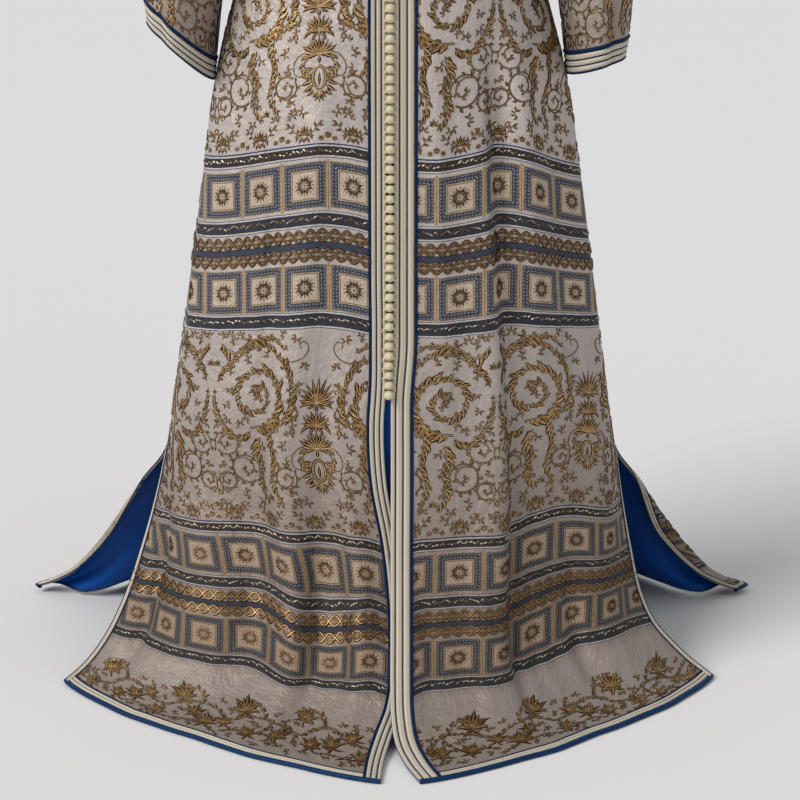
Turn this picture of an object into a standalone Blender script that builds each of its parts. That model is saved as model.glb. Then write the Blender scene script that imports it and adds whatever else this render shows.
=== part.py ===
"""Moroccan kaftan: a full-length brocade robe, standing hollow as if it were worn.

Metres, +Z up. The front faces -Y and the wearer's right side is at -X. The origin is the point
between the shoulders that holds the robe up, level with the neck end of the shoulder seams.
Heights in the tables are above the floor and are lowered by SHOULDER_HEIGHT when points are made.
"""
import bpy
import math
import numpy as np
from collections import namedtuple

# ---- driving sizes (metres) -------------------------------------------------------------------
SHOULDER_HEIGHT = 1.460   # neck end of the shoulder seam above the floor
BROCADE = 0.0016          # wall of the outer cloth
LINING = 0.0010           # wall of the satin lining
BRAID = 0.0014            # thickness of the braided bands
GAP = 0.0003              # space between pieces that lie on each other
SEAM = 0.0006             # space between pieces that are sewn edge to edge
FRONT_BAND = 0.031        # three braids and their cords along each front edge
SLIT_BAND = 0.009         # narrow band up the side slits
CUFF_BAND = 0.031
BUTTON_PITCH = 0.0126
BUTTON_RADIUS = 0.0054
BUTTON_WAIST = 0.0024     # half width of the loop between two buttons
BUTTON_TOP = 1.372        # height of the first button
BUTTON_END = 0.395        # height of the last button

# ---- sections -----------------------------------------------------------------------------------
# One row for each section across a panel, from the shoulder seam to the hem. The section runs from
# its inner point (neck or centre edge) to its side point (armhole, side seam or slit edge). A power
# of 1 is a straight line between the two, 2 is a quarter ellipse, and more is squarer.
Section = namedtuple("Section", "inner_x inner_y inner_h side_x side_y side_h power")

FRONT_SECTIONS = [
    Section(.075, .000, 1.460, .195, .000, 1.410, 1.00),    # shoulder seam
    Section(.070, -.038, 1.442, .187, -.028, 1.380, 1.10),
    Section(.054, -.069, 1.419, .178, -.047, 1.345, 1.25),
    Section(.027, -.090, 1.400, .173, -.055, 1.305, 1.45),
    Section(.000, -.098, 1.386, .176, -.046, 1.258, 1.70),  # foot of the neckline
    Section(.000, -.117, 1.310, .190, .000, 1.220, 2.00),   # underarm
    Section(.000, -.123, 1.220, .186, .000, 1.160, 2.15),   # bust
    Section(.000, -.118, 1.120, .180, .000, 1.090, 2.20),
    Section(.000, -.116, 1.020, .183, .000, 1.010, 2.20),   # waist
    Section(.000, -.125, .930, .199, .000, .925, 2.20),
    Section(.000, -.135, .840, .2215, .000, .840, 2.20),    # hip
    Section(.000, -.142, .750, .238, .000, .750, 2.20),
    Section(.000, -.149, .650, .2535, .000, .650, 2.15),
    Section(.000, -.156, .550, .268, .000, .550, 2.10),
    Section(.000, -.165, .455, .2825, .000, .455, 2.05),
    Section(.000, -.176, .367, .2965, .000, .367, 1.95),
    Section(.000, -.192, .287, .3085, .000, .287, 1.80),    # top of the side slits
    Section(.000, -.215, .212, .322, -.022, .218, 1.65),
    Section(.000, -.246, .150, .338, -.052, .160, 1.52),
    Section(.000, -.282, .100, .355, -.082, .110, 1.40),
    Section(.000, -.320, .062, .373, -.106, .071, 1.32),
    Section(.000, -.358, .034, .391, -.122, .044, 1.28),
    Section(.000, -.400, .014, .408, -.136, .024, 1.26),
    Section(.000, -.445, .006, .422, -.148, .012, 1.25),
    Section(.000, -.492, .0036, .432, -.158, .0050, 1.25),  # hem, lying on the floor
]
BACK_SECTIONS = [
    Section(.075, .000, 1.460, .195, .000, 1.410, 1.00),    # shoulder seam
    Section(.052, .032, 1.450, .188, .026, 1.380, 1.10),
    Section(.026, .048, 1.444, .181, .043, 1.345, 1.25),
    Section(.000, .053, 1.442, .177, .050, 1.305, 1.45),    # foot of the neckline
    Section(.000, .082, 1.385, .179, .042, 1.258, 1.70),
    Section(.000, .098, 1.310, .190, .000, 1.220, 2.00),    # underarm
    Section(.000, .103, 1.220, .186, .000, 1.160, 2.15),
    Section(.000, .100, 1.120, .180, .000, 1.090, 2.20),
    Section(.000, .102, 1.020, .183, .000, 1.010, 2.20),    # waist
    Section(.000, .118, .930, .199, .000, .925, 2.20),
    Section(.000, .130, .840, .2215, .000, .840, 2.20),     # hip
    Section(.000, .137, .750, .238, .000, .750, 2.20),
    Section(.000, .145, .650, .2535, .000, .650, 2.15),
    Section(.000, .154, .550, .268, .000, .550, 2.10),
    Section(.000, .166, .455, .2825, .000, .455, 2.05),
    Section(.000, .184, .367, .2965, .000, .367, 2.00),
    Section(.000, .208, .287, .3085, .000, .287, 1.90),     # top of the side slits
    Section(.000, .236, .212, .350, .050, .225, 1.78),
    Section(.000, .268, .150, .386, .096, .168, 1.65),
    Section(.000, .300, .100, .417, .134, .118, 1.54),
    Section(.000, .332, .062, .446, .165, .078, 1.45),
    Section(.000, .362, .034, .473, .190, .048, 1.38),
    Section(.000, .390, .014, .497, .206, .030, 1.33),
    Section(.000, .414, .006, .516, .216, .019, 1.30),
    Section(.000, .436, .0036, .532, .224, .0120, 1.28),    # hem of the short train
]
SHOULDER_ROW = 0
UNDERARM_ROW = 5
FRONT_NECK_ROW = 4
BACK_NECK_ROW = 3
SLIT_ROW = 16
LIFT_ROW = 19             # below this section the cloth starts to settle on the floor

# The fronts' edges below the buttons. A row for each section from the last button down: where each
# centre edge lies across, how far the right one is tucked in behind the left, and how much further
# out and back each front's slit edge lies than its section says.
FrontEdge = namedtuple("FrontEdge", "row right_x right_tuck left_x right_out left_out left_back")
FRONT_EDGES = [
    FrontEdge(14, -.0003, .000, .0003, .000, .000, .000),
    FrontEdge(15, -.0085, .000, .0003, .000, .000, .000),  # below the last button the V opens
    FrontEdge(16, -.0050, .006, .0003, .000, .000, .000),
    FrontEdge(17, .0090, .015, .0000, .002, -.004, .000),  # the wearer's left front laps over
    FrontEdge(18, .0170, .021, .0000, .003, -.010, .000),
    FrontEdge(19, .0195, .023, .0000, .003, -.016, .000),
    FrontEdge(20, .0200, .023, .0000, .003, -.016, .004),
    FrontEdge(21, .0150, .023, .0010, .002, -.010, .010),
    FrontEdge(22, .0020, .020, .0065, .002, -.004, .014),
    FrontEdge(23, -.0070, .010, .0190, .003, .000, .016),  # and the hems part
    FrontEdge(24, -.0110, .000, .0360, .004, .001, .018),
]

# Folds: where a fold runs across the panel at its start and at the hem, as a share of the section;
# the section rows where it starts and is full; its half width; how far it stands out (+) or sinks
# in (-) there; and the share of that which is left where the cloth lies on the floor.
Fold = namedtuple("Fold", "start_at hem_at start_row full_row half_width stand_out on_floor")
FOLDS = {
    "front_right": [
        Fold(.24, .20, 12, 18, .020, -.010, .1),
        Fold(.38, .33, 11, 19, .030, .012, .2),
        Fold(.52, .50, 12, 18, .030, -.011, .2),
        Fold(.70, .72, 14, 18, .035, .011, .2),
    ],
    "front_left": [
        Fold(.40, .36, 9, 18, .030, .015, .2),
        Fold(.55, .50, 9, 16, .024, -.019, .1),
        Fold(.78, .76, 12, 18, .034, .011, .2),
    ],
    "back": [                                   # mirrored about the centre back
        Fold(.10, .12, 12, 20, .040, -.012, .5),
        Fold(.28, .30, 10, 19, .040, .016, .5),
        Fold(.48, .48, 13, 20, .035, -.014, .5),
    ],
}

# Inside each slit the back swings forward: at this share of its section, over this half width, and
# by this much on each section from the top of the slits to the hem.
SWING_AT = 0.815
SWING_HALF_WIDTH = 0.075
SWING_CLEAR = 0.090       # from the slit edge, which stays where it is
SWING_FORWARD = [0, .012, .028, .044, .056, .066, .074, .080, .084]

# The sleeve: a row for each ring from the armhole to the cuff, with its point nearest the body, its
# point furthest out, and its half depth front to back. The tube hangs just clear of the body.
Ring = namedtuple("Ring", "near_x near_h far_x far_h middle_y half_depth")
SLEEVE_LEFT = [
    Ring(.1965, 1.2000, .236, 1.398, .000, .064),
    Ring(.1975, 1.1780, .272, 1.360, .000, .067),
    Ring(.1985, 1.1450, .298, 1.295, .001, .068),
    Ring(.2000, 1.0950, .311, 1.200, .002, .068),
    Ring(.2035, 1.0300, .317, 1.100, .001, .067),
    Ring(.2120, .9600, .318, 1.005, -.003, .066),
    Ring(.2220, .8900, .317, .920, -.008, .066),
    Ring(.2290, .8350, .314, .862, -.011, .066),
    Ring(.2325, .8000, .308, .822, -.013, .065),
]
SLEEVE_RIGHT = [
    Ring(.1965, 1.2000, .236, 1.398, .000, .064),
    Ring(.1975, 1.1780, .272, 1.360, .000, .067),
    Ring(.1985, 1.1450, .298, 1.295, .000, .068),
    Ring(.2000, 1.0950, .313, 1.200, -.002, .068),
    Ring(.2035, 1.0300, .321, 1.105, -.006, .067),
    Ring(.2120, .9600, .321, 1.020, -.012, .066),
    Ring(.2215, .8900, .322, .948, -.018, .066),
    Ring(.2280, .8320, .320, .898, -.022, .066),
    Ring(.2315, .7930, .317, .868, -.024, .065),
]
CUFF_RINGS = 1            # the cuff band covers the last ring spacing

COLUMNS = 13              # mesh columns across a front, and across each half of the back
SLEEVE_SIDES = 14
SECTION_POINTS = 200      # along a section before it is spaced out evenly

COLOURS = {               # colour, roughness, metallic
    "brocade": ((.56, .52, .50, 1), .42, .25),
    "lining": ((.010, .045, .24, 1), .40, .0),
    "braid": ((.72, .66, .52, 1), .60, .0),
    "button": ((.66, .56, .30, 1), .55, .0),
}


# ---- curves ---------------------------------------------------------------------------------------
def smooth(knots, values, at):
    """Cubic through the values at the knots, with no corner at a knot."""
    knots = np.asarray(knots, float)
    values = np.asarray(values, float)
    slope = np.gradient(values, knots, axis=0)
    at = np.clip(at, knots[0], knots[-1])
    i = np.clip(np.searchsorted(knots, at, side="right") - 1, 0, len(knots) - 2)
    step = knots[i + 1] - knots[i]
    t = (at - knots[i]) / step
    if values.ndim > 1:
        t = t[..., None]
        step = step[..., None]
    return (values[i] * (1 + 2 * t) * (1 - t) ** 2 + values[i + 1] * t * t * (3 - 2 * t)
            + slope[i] * step * t * (1 - t) ** 2 - slope[i + 1] * step * t * t * (1 - t))


def ease(x):
    x = np.clip(x, 0.0, 1.0)
    return x * x * (3 - 2 * x)


def evenly(curve, shares):
    """Points at the given shares of a polyline's length."""
    length = np.concatenate([[0], np.cumsum(np.linalg.norm(np.diff(curve, axis=0), axis=1))])
    return np.stack([np.interp(shares * length[-1], length, curve[:, k]) for k in range(3)], axis=1)


def curve_length(curve):
    return np.linalg.norm(np.diff(curve, axis=0), axis=1).sum()


# ---- panels ---------------------------------------------------------------------------------------
def section_table(name):
    """The panel's sections as an array, with its centre edge put in for a front."""
    sections = BACK_SECTIONS if name == "back" else FRONT_SECTIONS
    table = np.array(sections, float)
    if name == "back":
        table[:, 4] += SEAM / 2
    else:
        table[:, 4] -= SEAM / 2
        table[FRONT_NECK_ROW:FRONT_EDGES[0].row, 0] = GAP
        for edge in FRONT_EDGES:
            if name == "front_right":
                table[edge.row, 0] -= edge.right_x      # this front is mirrored to -X later
                table[edge.row, 1] += edge.right_tuck
                table[edge.row, 3] += edge.right_out
            else:
                table[edge.row, 0] += edge.left_x
                table[edge.row, 3] += edge.left_out
                table[edge.row, 4] += edge.left_back
    return table


def section_curve(name, table, row):
    """The closely spaced points of the section at a row, which may lie between two rows."""
    inner_x, inner_y, inner_h, side_x, side_y, side_h, power = smooth(
        np.arange(len(table)), table, np.array([row]))[0]
    turn = np.linspace(0, math.pi / 2, SECTION_POINTS)
    across = np.sin(turn) ** (2 / power)
    out = np.cos(turn) ** (2 / power)
    curve = np.stack([inner_x + (side_x - inner_x) * across,
                      side_y + (inner_y - side_y) * out,
                      np.zeros_like(turn)], axis=1)
    curve = evenly(curve, np.linspace(0, 1, SECTION_POINTS))
    share = np.linspace(0, 1, SECTION_POINTS)
    curve[:, 2] = inner_h + (side_h - inner_h) * share

    along = np.gradient(curve[:, :2], axis=0)
    along /= np.linalg.norm(along, axis=1)[:, None]
    outward = np.stack([along[:, 1], -along[:, 0]], axis=1)
    if name == "back":
        outward = -outward
    length = curve_length(curve)
    hem_row = len(table) - 1
    shift = np.zeros_like(share)
    lying = ease((row - LIFT_ROW) / (hem_row - LIFT_ROW))
    for fold in FOLDS[name]:
        down = (row - fold.start_row) / (hem_row - fold.start_row)
        place = fold.start_at + (fold.hem_at - fold.start_at) * np.clip(down, 0, 1)
        grown = ease((row - fold.start_row) / (fold.full_row - fold.start_row))
        reach = (share - place) * length / fold.half_width
        left = 1 - (1 - fold.on_floor) * lying
        shift += fold.stand_out * grown * left * np.exp(-reach ** 2)
    shift *= ease(share * length / FRONT_BAND) * ease((1 - share) * length / (3 * SLIT_BAND))
    curve[:, :2] += outward * shift[:, None]
    if name == "back" and row > SLIT_ROW:
        forward = np.interp(row, range(SLIT_ROW, hem_row + 1), SWING_FORWARD)
        reach = (share - SWING_AT) * length / SWING_HALF_WIDTH
        curve[:, 1] -= forward * np.exp(-reach ** 2) * ease((1 - share) * length / SWING_CLEAR)
    return curve


def panel_rows(name):
    """The rows of the panel's mesh: the sections, and a line for the edge of the hem band."""
    hem = len(BACK_SECTIONS) - 1
    return np.array(list(range(0, hem)) + [hem - .42, hem], float)


def column_shares(length):
    """Shares of the section where the mesh has a column: the bands' edges, and evenly between."""
    middle = np.linspace(FRONT_BAND / length, 1 - SLIT_BAND / length, COLUMNS - 1)
    return np.concatenate([[0], middle, [1]])


def half_grid(name):
    """Points of one half's outer face and the outward directions, by row and column, on +X."""
    table = section_table(name)
    points = []
    for row in panel_rows(name):
        curve = section_curve(name, table, row)
        points.append(evenly(curve, column_shares(curve_length(curve))))
    points = np.array(points)
    points[:, :, 2] -= SHOULDER_HEIGHT
    normals = np.cross(np.gradient(points, axis=0), np.gradient(points, axis=1))
    if name == "back":
        normals = -normals
    seam = [i for i, row in enumerate(panel_rows(name)) if UNDERARM_ROW <= row <= SLIT_ROW]
    normals[seam, -1, 1] = 0.0                       # a wall's end lies in its seam's plane
    normals[SHOULDER_ROW, :, 1] = 0.0
    if name == "back":
        normals[BACK_NECK_ROW:, 0, 0] = 0.0
    normals /= np.linalg.norm(normals, axis=2)[:, :, None]
    return points, normals


def mirrored(grid):
    return grid * np.array([-1.0, 1.0, 1.0])


# ---- solids ---------------------------------------------------------------------------------------
def material(kind):
    found = bpy.data.materials.get(kind)
    if found:
        return found
    colour, roughness, metallic = COLOURS[kind]
    made = bpy.data.materials.new(kind)
    made.use_nodes = True
    shader = made.node_tree.nodes["Principled BSDF"]
    shader.inputs["Base Color"].default_value = colour
    shader.inputs["Roughness"].default_value = roughness
    shader.inputs["Metallic"].default_value = metallic
    return made


def add_object(name, points, faces, kind):
    mesh = bpy.data.meshes.new(name)
    mesh.from_pydata([tuple(p) for p in points], [], faces)
    mesh.materials.append(material(kind))
    mesh.shade_smooth()
    mesh.set_sharp_from_angle(angle=math.radians(50))
    obj = bpy.data.objects.new(name, mesh)
    bpy.context.scene.collection.objects.link(obj)
    return obj


def grid_triangles(rows, columns, closed):
    """Triangles of a grid of points, each quad cut on the same diagonal."""
    faces = []
    for r in range(rows - 1):
        for c in range(columns if closed else columns - 1):
            a = r * columns + c
            b = r * columns + (c + 1) % columns
            faces += [(a, a + columns, b + columns), (a, b + columns, b)]
    return faces


def sewn(points, faces):
    """Numbers the points so that those in the same place share a number."""
    keys = {}
    number = [keys.setdefault(tuple(np.round(p, 7)), len(keys)) for p in points]
    kept = [number.index(i) for i in range(len(keys))]
    return kept, [tuple(number[i] for i in face) for face in faces]


def wall(name, grids, top, thickness, kind, closed=False):
    """A solid wall on grids of (points, normals) that may share an edge. Its upper face is top
    above the points along the normals, and a rim closes it along every open edge."""
    points = np.concatenate([g[0].reshape(-1, 3) for g in grids])
    normals = np.concatenate([g[1].reshape(-1, 3) for g in grids])
    faces = []
    start = 0
    for grid in grids:
        rows, columns, _ = grid[0].shape
        new = [tuple(i + start for i in f) for f in grid_triangles(rows, columns, closed)]
        corners = points[np.array(new)]
        facing = np.cross(corners[:, 1] - corners[:, 0], corners[:, 2] - corners[:, 0])
        if np.sum(facing * normals[np.array(new)[:, 0]]) < 0:
            new = [f[::-1] for f in new]
        faces += new
        start += rows * columns
    kept, faces = sewn(points, faces)
    points = points[kept]
    normals = normals[kept]
    count = len(points)
    edges = {(f[i], f[(i + 1) % 3]) for f in faces for i in range(3)}
    open_edges = sorted(e for e in edges if (e[1], e[0]) not in edges)
    solid = list(faces) + [tuple(i + count for i in f[::-1]) for f in faces]
    for a, b in open_edges:
        solid += [(b, a, a + count), (b, a + count, b + count)]
    both = np.concatenate([points + normals * top, points + normals * (top - thickness)])
    return add_object(name, both, solid, kind)


def trimmed(grid, ends):
    """The grid with chosen ends drawn back by SEAM: any of 'start', 'end', 'first', 'last'."""
    points = grid[0].copy()
    if "start" in ends:
        points[0] += pull(points[0], points[1])
    if "end" in ends:
        points[-1] += pull(points[-1], points[-2])
    if "first" in ends:
        points[:, 0] += pull(points[:, 0], points[:, 1])
    if "last" in ends:
        points[:, -1] += pull(points[:, -1], points[:, -2])
    return points, grid[1]


def pull(edge, inside):
    way = inside - edge
    return way / np.linalg.norm(way, axis=-1, keepdims=True) * SEAM


def part_of(grid, rows, columns):
    return grid[0][rows, columns], grid[1][rows, columns]


def braid(name, grids):
    wall(name, grids, GAP + BRAID, BRAID, "braid")


# ---- fronts and back ------------------------------------------------------------------------------
def build_panels():
    every = slice(None)
    rows = panel_rows("back")
    slit = slice(int(np.searchsorted(rows, SLIT_ROW)), None)
    lined = slice(slit.start - 1, None)
    hem = slice(-2, None)
    for name in ("front_right", "front_left"):
        side = name.split("_")[1]
        grid = half_grid(name)
        if side == "right":
            grid = tuple(mirrored(g) for g in grid)
        wall(name, [grid], 0.0, BROCADE, "brocade")
        wall("lining_" + name, [trimmed(part_of(grid, lined, every), ("end", "first", "last"))],
             -BROCADE - GAP, LINING, "lining")
        braid("front_band_" + side, [trimmed(part_of(grid, every, slice(0, 2)), ("start",))])
        braid("slit_band_front_" + side, [part_of(grid, slit, slice(-2, None))])
        braid("hem_band_front_" + side,
              [trimmed(part_of(grid, hem, slice(1, -1)), ("first", "last"))])

    left = half_grid("back")
    right = tuple(mirrored(g) for g in left)
    wall("back", [left, right], 0.0, BROCADE, "brocade")
    wall("lining_back", [trimmed(part_of(g, lined, every), ("end", "last")) for g in (left, right)],
         -BROCADE - GAP, LINING, "lining")
    braid("hem_band_back",
          [trimmed(part_of(g, hem, slice(0, -1)), ("last",)) for g in (left, right)])
    braid("slit_band_back_left", [part_of(left, slit, slice(-2, None))])
    braid("slit_band_back_right", [part_of(right, slit, slice(-2, None))])
    build_neck_band(left, right)


def build_neck_band(left, right):
    """The braid round the back of the neck, which dips below the neckline at the centre."""
    foot = FRONT_BAND / np.linalg.norm(left[0][BACK_NECK_ROW + 1, 0] - left[0][BACK_NECK_ROW, 0])
    halves = []
    for half in (left, right):
        grid = []
        for values in half:
            below = values[BACK_NECK_ROW] * (1 - foot) + values[BACK_NECK_ROW + 1] * foot
            grid.append(np.concatenate([values[:BACK_NECK_ROW + 1, :2], below[None, :2]]))
        halves.append(trimmed(grid, ("start",)))
    braid("neck_band_back", halves)


# ---- sleeves --------------------------------------------------------------------------------------
def armhole(angle):
    """Point of the armhole at an angle round it: 0 underarm, a quarter at the front, half on top."""
    front = section_table("front_left")[:UNDERARM_ROW + 1, 3:6]
    back = section_table("back")[:UNDERARM_ROW + 1, 3:6]
    turn = angle / math.pi
    if turn <= 1:
        return smooth(np.arange(UNDERARM_ROW + 1), front, np.array([UNDERARM_ROW * (1 - turn)]))[0]
    return smooth(np.arange(UNDERARM_ROW + 1), back, np.array([UNDERARM_ROW * (turn - 1)]))[0]


def sleeve_grid(side):
    rings = SLEEVE_LEFT if side == "left" else SLEEVE_RIGHT
    angles = np.arange(SLEEVE_SIDES) * 2 * math.pi / SLEEVE_SIDES
    head = np.array([armhole(a) for a in angles])
    head[:, 0] += 3 * SEAM
    head[:, 2] += SEAM * -np.cos(angles)
    grid = [head]
    for ring in rings:
        middle = np.array([(ring.near_x + ring.far_x) / 2, ring.middle_y,
                           (ring.near_h + ring.far_h) / 2])
        half = np.array([(ring.far_x - ring.near_x) / 2, 0, (ring.far_h - ring.near_h) / 2])
        grid.append([middle - half * math.cos(a) - np.array([0, ring.half_depth, 0]) * math.sin(a)
                     for a in angles])
    points = np.array(grid)
    points[:, :, 2] -= SHOULDER_HEIGHT
    if side == "right":
        points[:, :, 0] *= -1
    down = np.gradient(points, axis=0)
    around = (np.roll(points, -1, axis=1) - np.roll(points, 1, axis=1)) / 2
    normals = np.cross(around, down)
    if side == "right":
        normals = -normals
    normals[0, :, 0] = 0.0                           # the head's rim stands square to the armhole
    normals[0, 0] = (0.0, 0.0, -1.0)
    normals /= np.linalg.norm(normals, axis=2)[:, :, None]
    return points, normals


def build_sleeves():
    for side in ("right", "left"):
        points, normals = sleeve_grid(side)
        last = points[-1]
        above = points[-2]
        way = above - last
        start = last + way / np.linalg.norm(way, axis=1)[:, None] * CUFF_BAND
        points = np.concatenate([points[:-1], start[None], last[None]])
        normals = np.concatenate([normals[:-1], normals[-1:], normals[-1:]])
        wall("sleeve_" + side, [(points, normals)], 0.0, BROCADE, "brocade", closed=True)
        cuff = (points[-2:], normals[-2:])
        wall("cuff_band_" + side, [cuff], GAP + BRAID, BRAID, "braid", closed=True)


# ---- centre front ---------------------------------------------------------------------------------
def centre_line(height):
    """How far the centre front edge stands forward at a height."""
    rows = [s for s in FRONT_SECTIONS if s.inner_x == 0]
    heights = np.array([s.inner_h for s in rows])[::-1]
    depths = np.array([-s.inner_y for s in rows])[::-1]
    return smooth(heights, depths, np.array([height]))[0]


def build_buttons():
    """Knotted silk buttons in one close row, joined by their loops."""
    count = int(round((BUTTON_TOP - BUTTON_END) / BUTTON_PITCH))
    sides = 6
    rings = []
    for knot in range(count + 1):
        top = BUTTON_TOP - knot * BUTTON_PITCH + BUTTON_PITCH / 2
        for share, radius in ((0.04, BUTTON_WAIST), (0.30, BUTTON_RADIUS), (0.72, BUTTON_RADIUS)):
            rings.append((top - share * BUTTON_PITCH, radius))
    rings.append((rings[-1][0] - 0.3 * BUTTON_PITCH, BUTTON_WAIST))
    points = []
    clear = GAP + BRAID + GAP + BUTTON_RADIUS + BROCADE
    for height, radius in rings:
        forward = centre_line(height) + clear
        for k in range(sides):
            a = 2 * math.pi * k / sides
            points.append((radius * math.cos(a), -forward + radius * math.sin(a),
                           height - SHOULDER_HEIGHT))
    faces = []
    for r in range(len(rings) - 1):
        for k in range(sides):
            a = r * sides + k
            b = r * sides + (k + 1) % sides
            faces += [(a, a + sides, b + sides), (a, b + sides, b)]
    end = (len(rings) - 1) * sides
    faces += [(0, k, k + 1) for k in range(1, sides - 1)]
    faces += [(end, end + k + 1, end + k) for k in range(1, sides - 1)]
    add_object("button_row", points, faces, "button")


# The blue strip behind the V below the buttons: height, and how far it lies behind the edge line.
Underlap = namedtuple("Underlap", "height behind left right")
UNDERLAP = [
    Underlap(.460, .0045, -.016, .014),
    Underlap(.410, .0050, -.017, .014),
    Underlap(.360, .0065, -.018, .014),
    Underlap(.320, .0100, -.017, .013),
    Underlap(.285, .0150, -.014, .012),
    Underlap(.255, .0195, -.010, .010),
]


def build_underlap():
    points = []
    for row in UNDERLAP:
        y = -centre_line(row.height) + row.behind
        points.append([(x, y, row.height - SHOULDER_HEIGHT) for x in (row.left, 0.0, row.right)])
    points = np.array(points)
    normals = np.zeros_like(points)
    normals[:, :, 1] = -1.0
    wall("underlap", [(points, normals)], 0.0, LINING, "lining")


def main():
    for obj in list(bpy.data.objects):
        bpy.data.objects.remove(obj, do_unlink=True)
    build_panels()
    build_sleeves()
    build_buttons()
    build_underlap()


main()
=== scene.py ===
"""Looks of the moroccan kaftan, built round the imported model.

Metres, +Z up, front towards -Y, the wearer's right at -X. Cloth places are given as s, the distance
across a panel from its centre edge, and p, the distance up the cloth from near its hem, which the
woven design is set out by. Every cloth piece is a thin shell on the form of its solid.
"""
import math
from collections import namedtuple

import bpy
import numpy as np
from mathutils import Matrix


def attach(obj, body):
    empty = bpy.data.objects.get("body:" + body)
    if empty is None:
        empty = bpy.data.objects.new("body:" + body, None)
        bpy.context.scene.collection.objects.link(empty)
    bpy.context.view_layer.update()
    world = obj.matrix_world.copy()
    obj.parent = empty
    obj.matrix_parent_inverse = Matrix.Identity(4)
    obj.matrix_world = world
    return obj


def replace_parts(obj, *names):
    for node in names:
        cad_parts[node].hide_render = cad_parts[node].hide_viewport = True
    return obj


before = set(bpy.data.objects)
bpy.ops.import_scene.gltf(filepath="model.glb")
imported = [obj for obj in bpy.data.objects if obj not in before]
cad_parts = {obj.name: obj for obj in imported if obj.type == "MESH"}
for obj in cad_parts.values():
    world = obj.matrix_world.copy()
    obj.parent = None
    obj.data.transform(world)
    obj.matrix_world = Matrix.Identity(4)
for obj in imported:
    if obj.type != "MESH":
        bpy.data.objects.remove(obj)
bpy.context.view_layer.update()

# ---- sizes (metres) ---------------------------------------------------------------------------
SHOULDER_HEIGHT = 1.460
FLOOR = -SHOULDER_HEIGHT
BROCADE = 0.0016
LINING = 0.0008
SEAM = 0.0006
GAP = 0.0003
FRONT_BAND = 0.031
SLIT_BAND = 0.009
LINING_GAP = 0.0008       # between the brocade and its lining
BEAD_FOOT = 0.0004        # braid and gold thread start this far off the cloth
GOLD_FOOT = 0.00015
SECTION_POINTS = 360
ROWS = 168
COLUMNS = 66
SLEEVE_ROWS = 84
SLEEVE_COLUMNS = 64
RANDOM = np.random.default_rng(11)


# ---- sections -----------------------------------------------------------------------------------
# One row for each section across a panel, from the shoulder seam to the hem. The section runs from
# its inner point (neck or centre edge) to its side point (armhole, side seam or slit edge). A power
# of 1 is a straight line between the two, 2 is a quarter ellipse, and more is squarer.
Section = namedtuple("Section", "inner_x inner_y inner_h side_x side_y side_h power")

FRONT_SECTIONS = [
    Section(.075, .000, 1.460, .195, .000, 1.410, 1.00),    # shoulder seam
    Section(.070, -.038, 1.442, .187, -.028, 1.380, 1.10),
    Section(.054, -.069, 1.419, .178, -.047, 1.345, 1.25),
    Section(.027, -.090, 1.400, .173, -.055, 1.305, 1.45),
    Section(.000, -.098, 1.386, .176, -.046, 1.258, 1.70),  # foot of the neckline
    Section(.000, -.117, 1.310, .190, .000, 1.220, 2.00),   # underarm
    Section(.000, -.123, 1.220, .186, .000, 1.160, 2.15),   # bust
    Section(.000, -.118, 1.120, .180, .000, 1.090, 2.20),
    Section(.000, -.116, 1.020, .183, .000, 1.010, 2.20),   # waist
    Section(.000, -.125, .930, .199, .000, .925, 2.20),
    Section(.000, -.135, .840, .2215, .000, .840, 2.20),    # hip
    Section(.000, -.142, .750, .238, .000, .750, 2.20),
    Section(.000, -.149, .650, .2535, .000, .650, 2.15),
    Section(.000, -.156, .550, .268, .000, .550, 2.10),
    Section(.000, -.165, .455, .2825, .000, .455, 2.05),
    Section(.000, -.176, .367, .2965, .000, .367, 1.95),
    Section(.000, -.192, .287, .3085, .000, .287, 1.80),    # top of the side slits
    Section(.000, -.215, .212, .322, -.022, .218, 1.65),
    Section(.000, -.246, .150, .338, -.052, .160, 1.52),
    Section(.000, -.282, .100, .355, -.082, .110, 1.40),
    Section(.000, -.320, .062, .373, -.106, .071, 1.32),
    Section(.000, -.358, .034, .391, -.122, .044, 1.28),
    Section(.000, -.400, .014, .408, -.136, .024, 1.26),
    Section(.000, -.445, .006, .422, -.148, .012, 1.25),
    Section(.000, -.492, .0036, .432, -.158, .0050, 1.25),  # hem, lying on the floor
]
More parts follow.
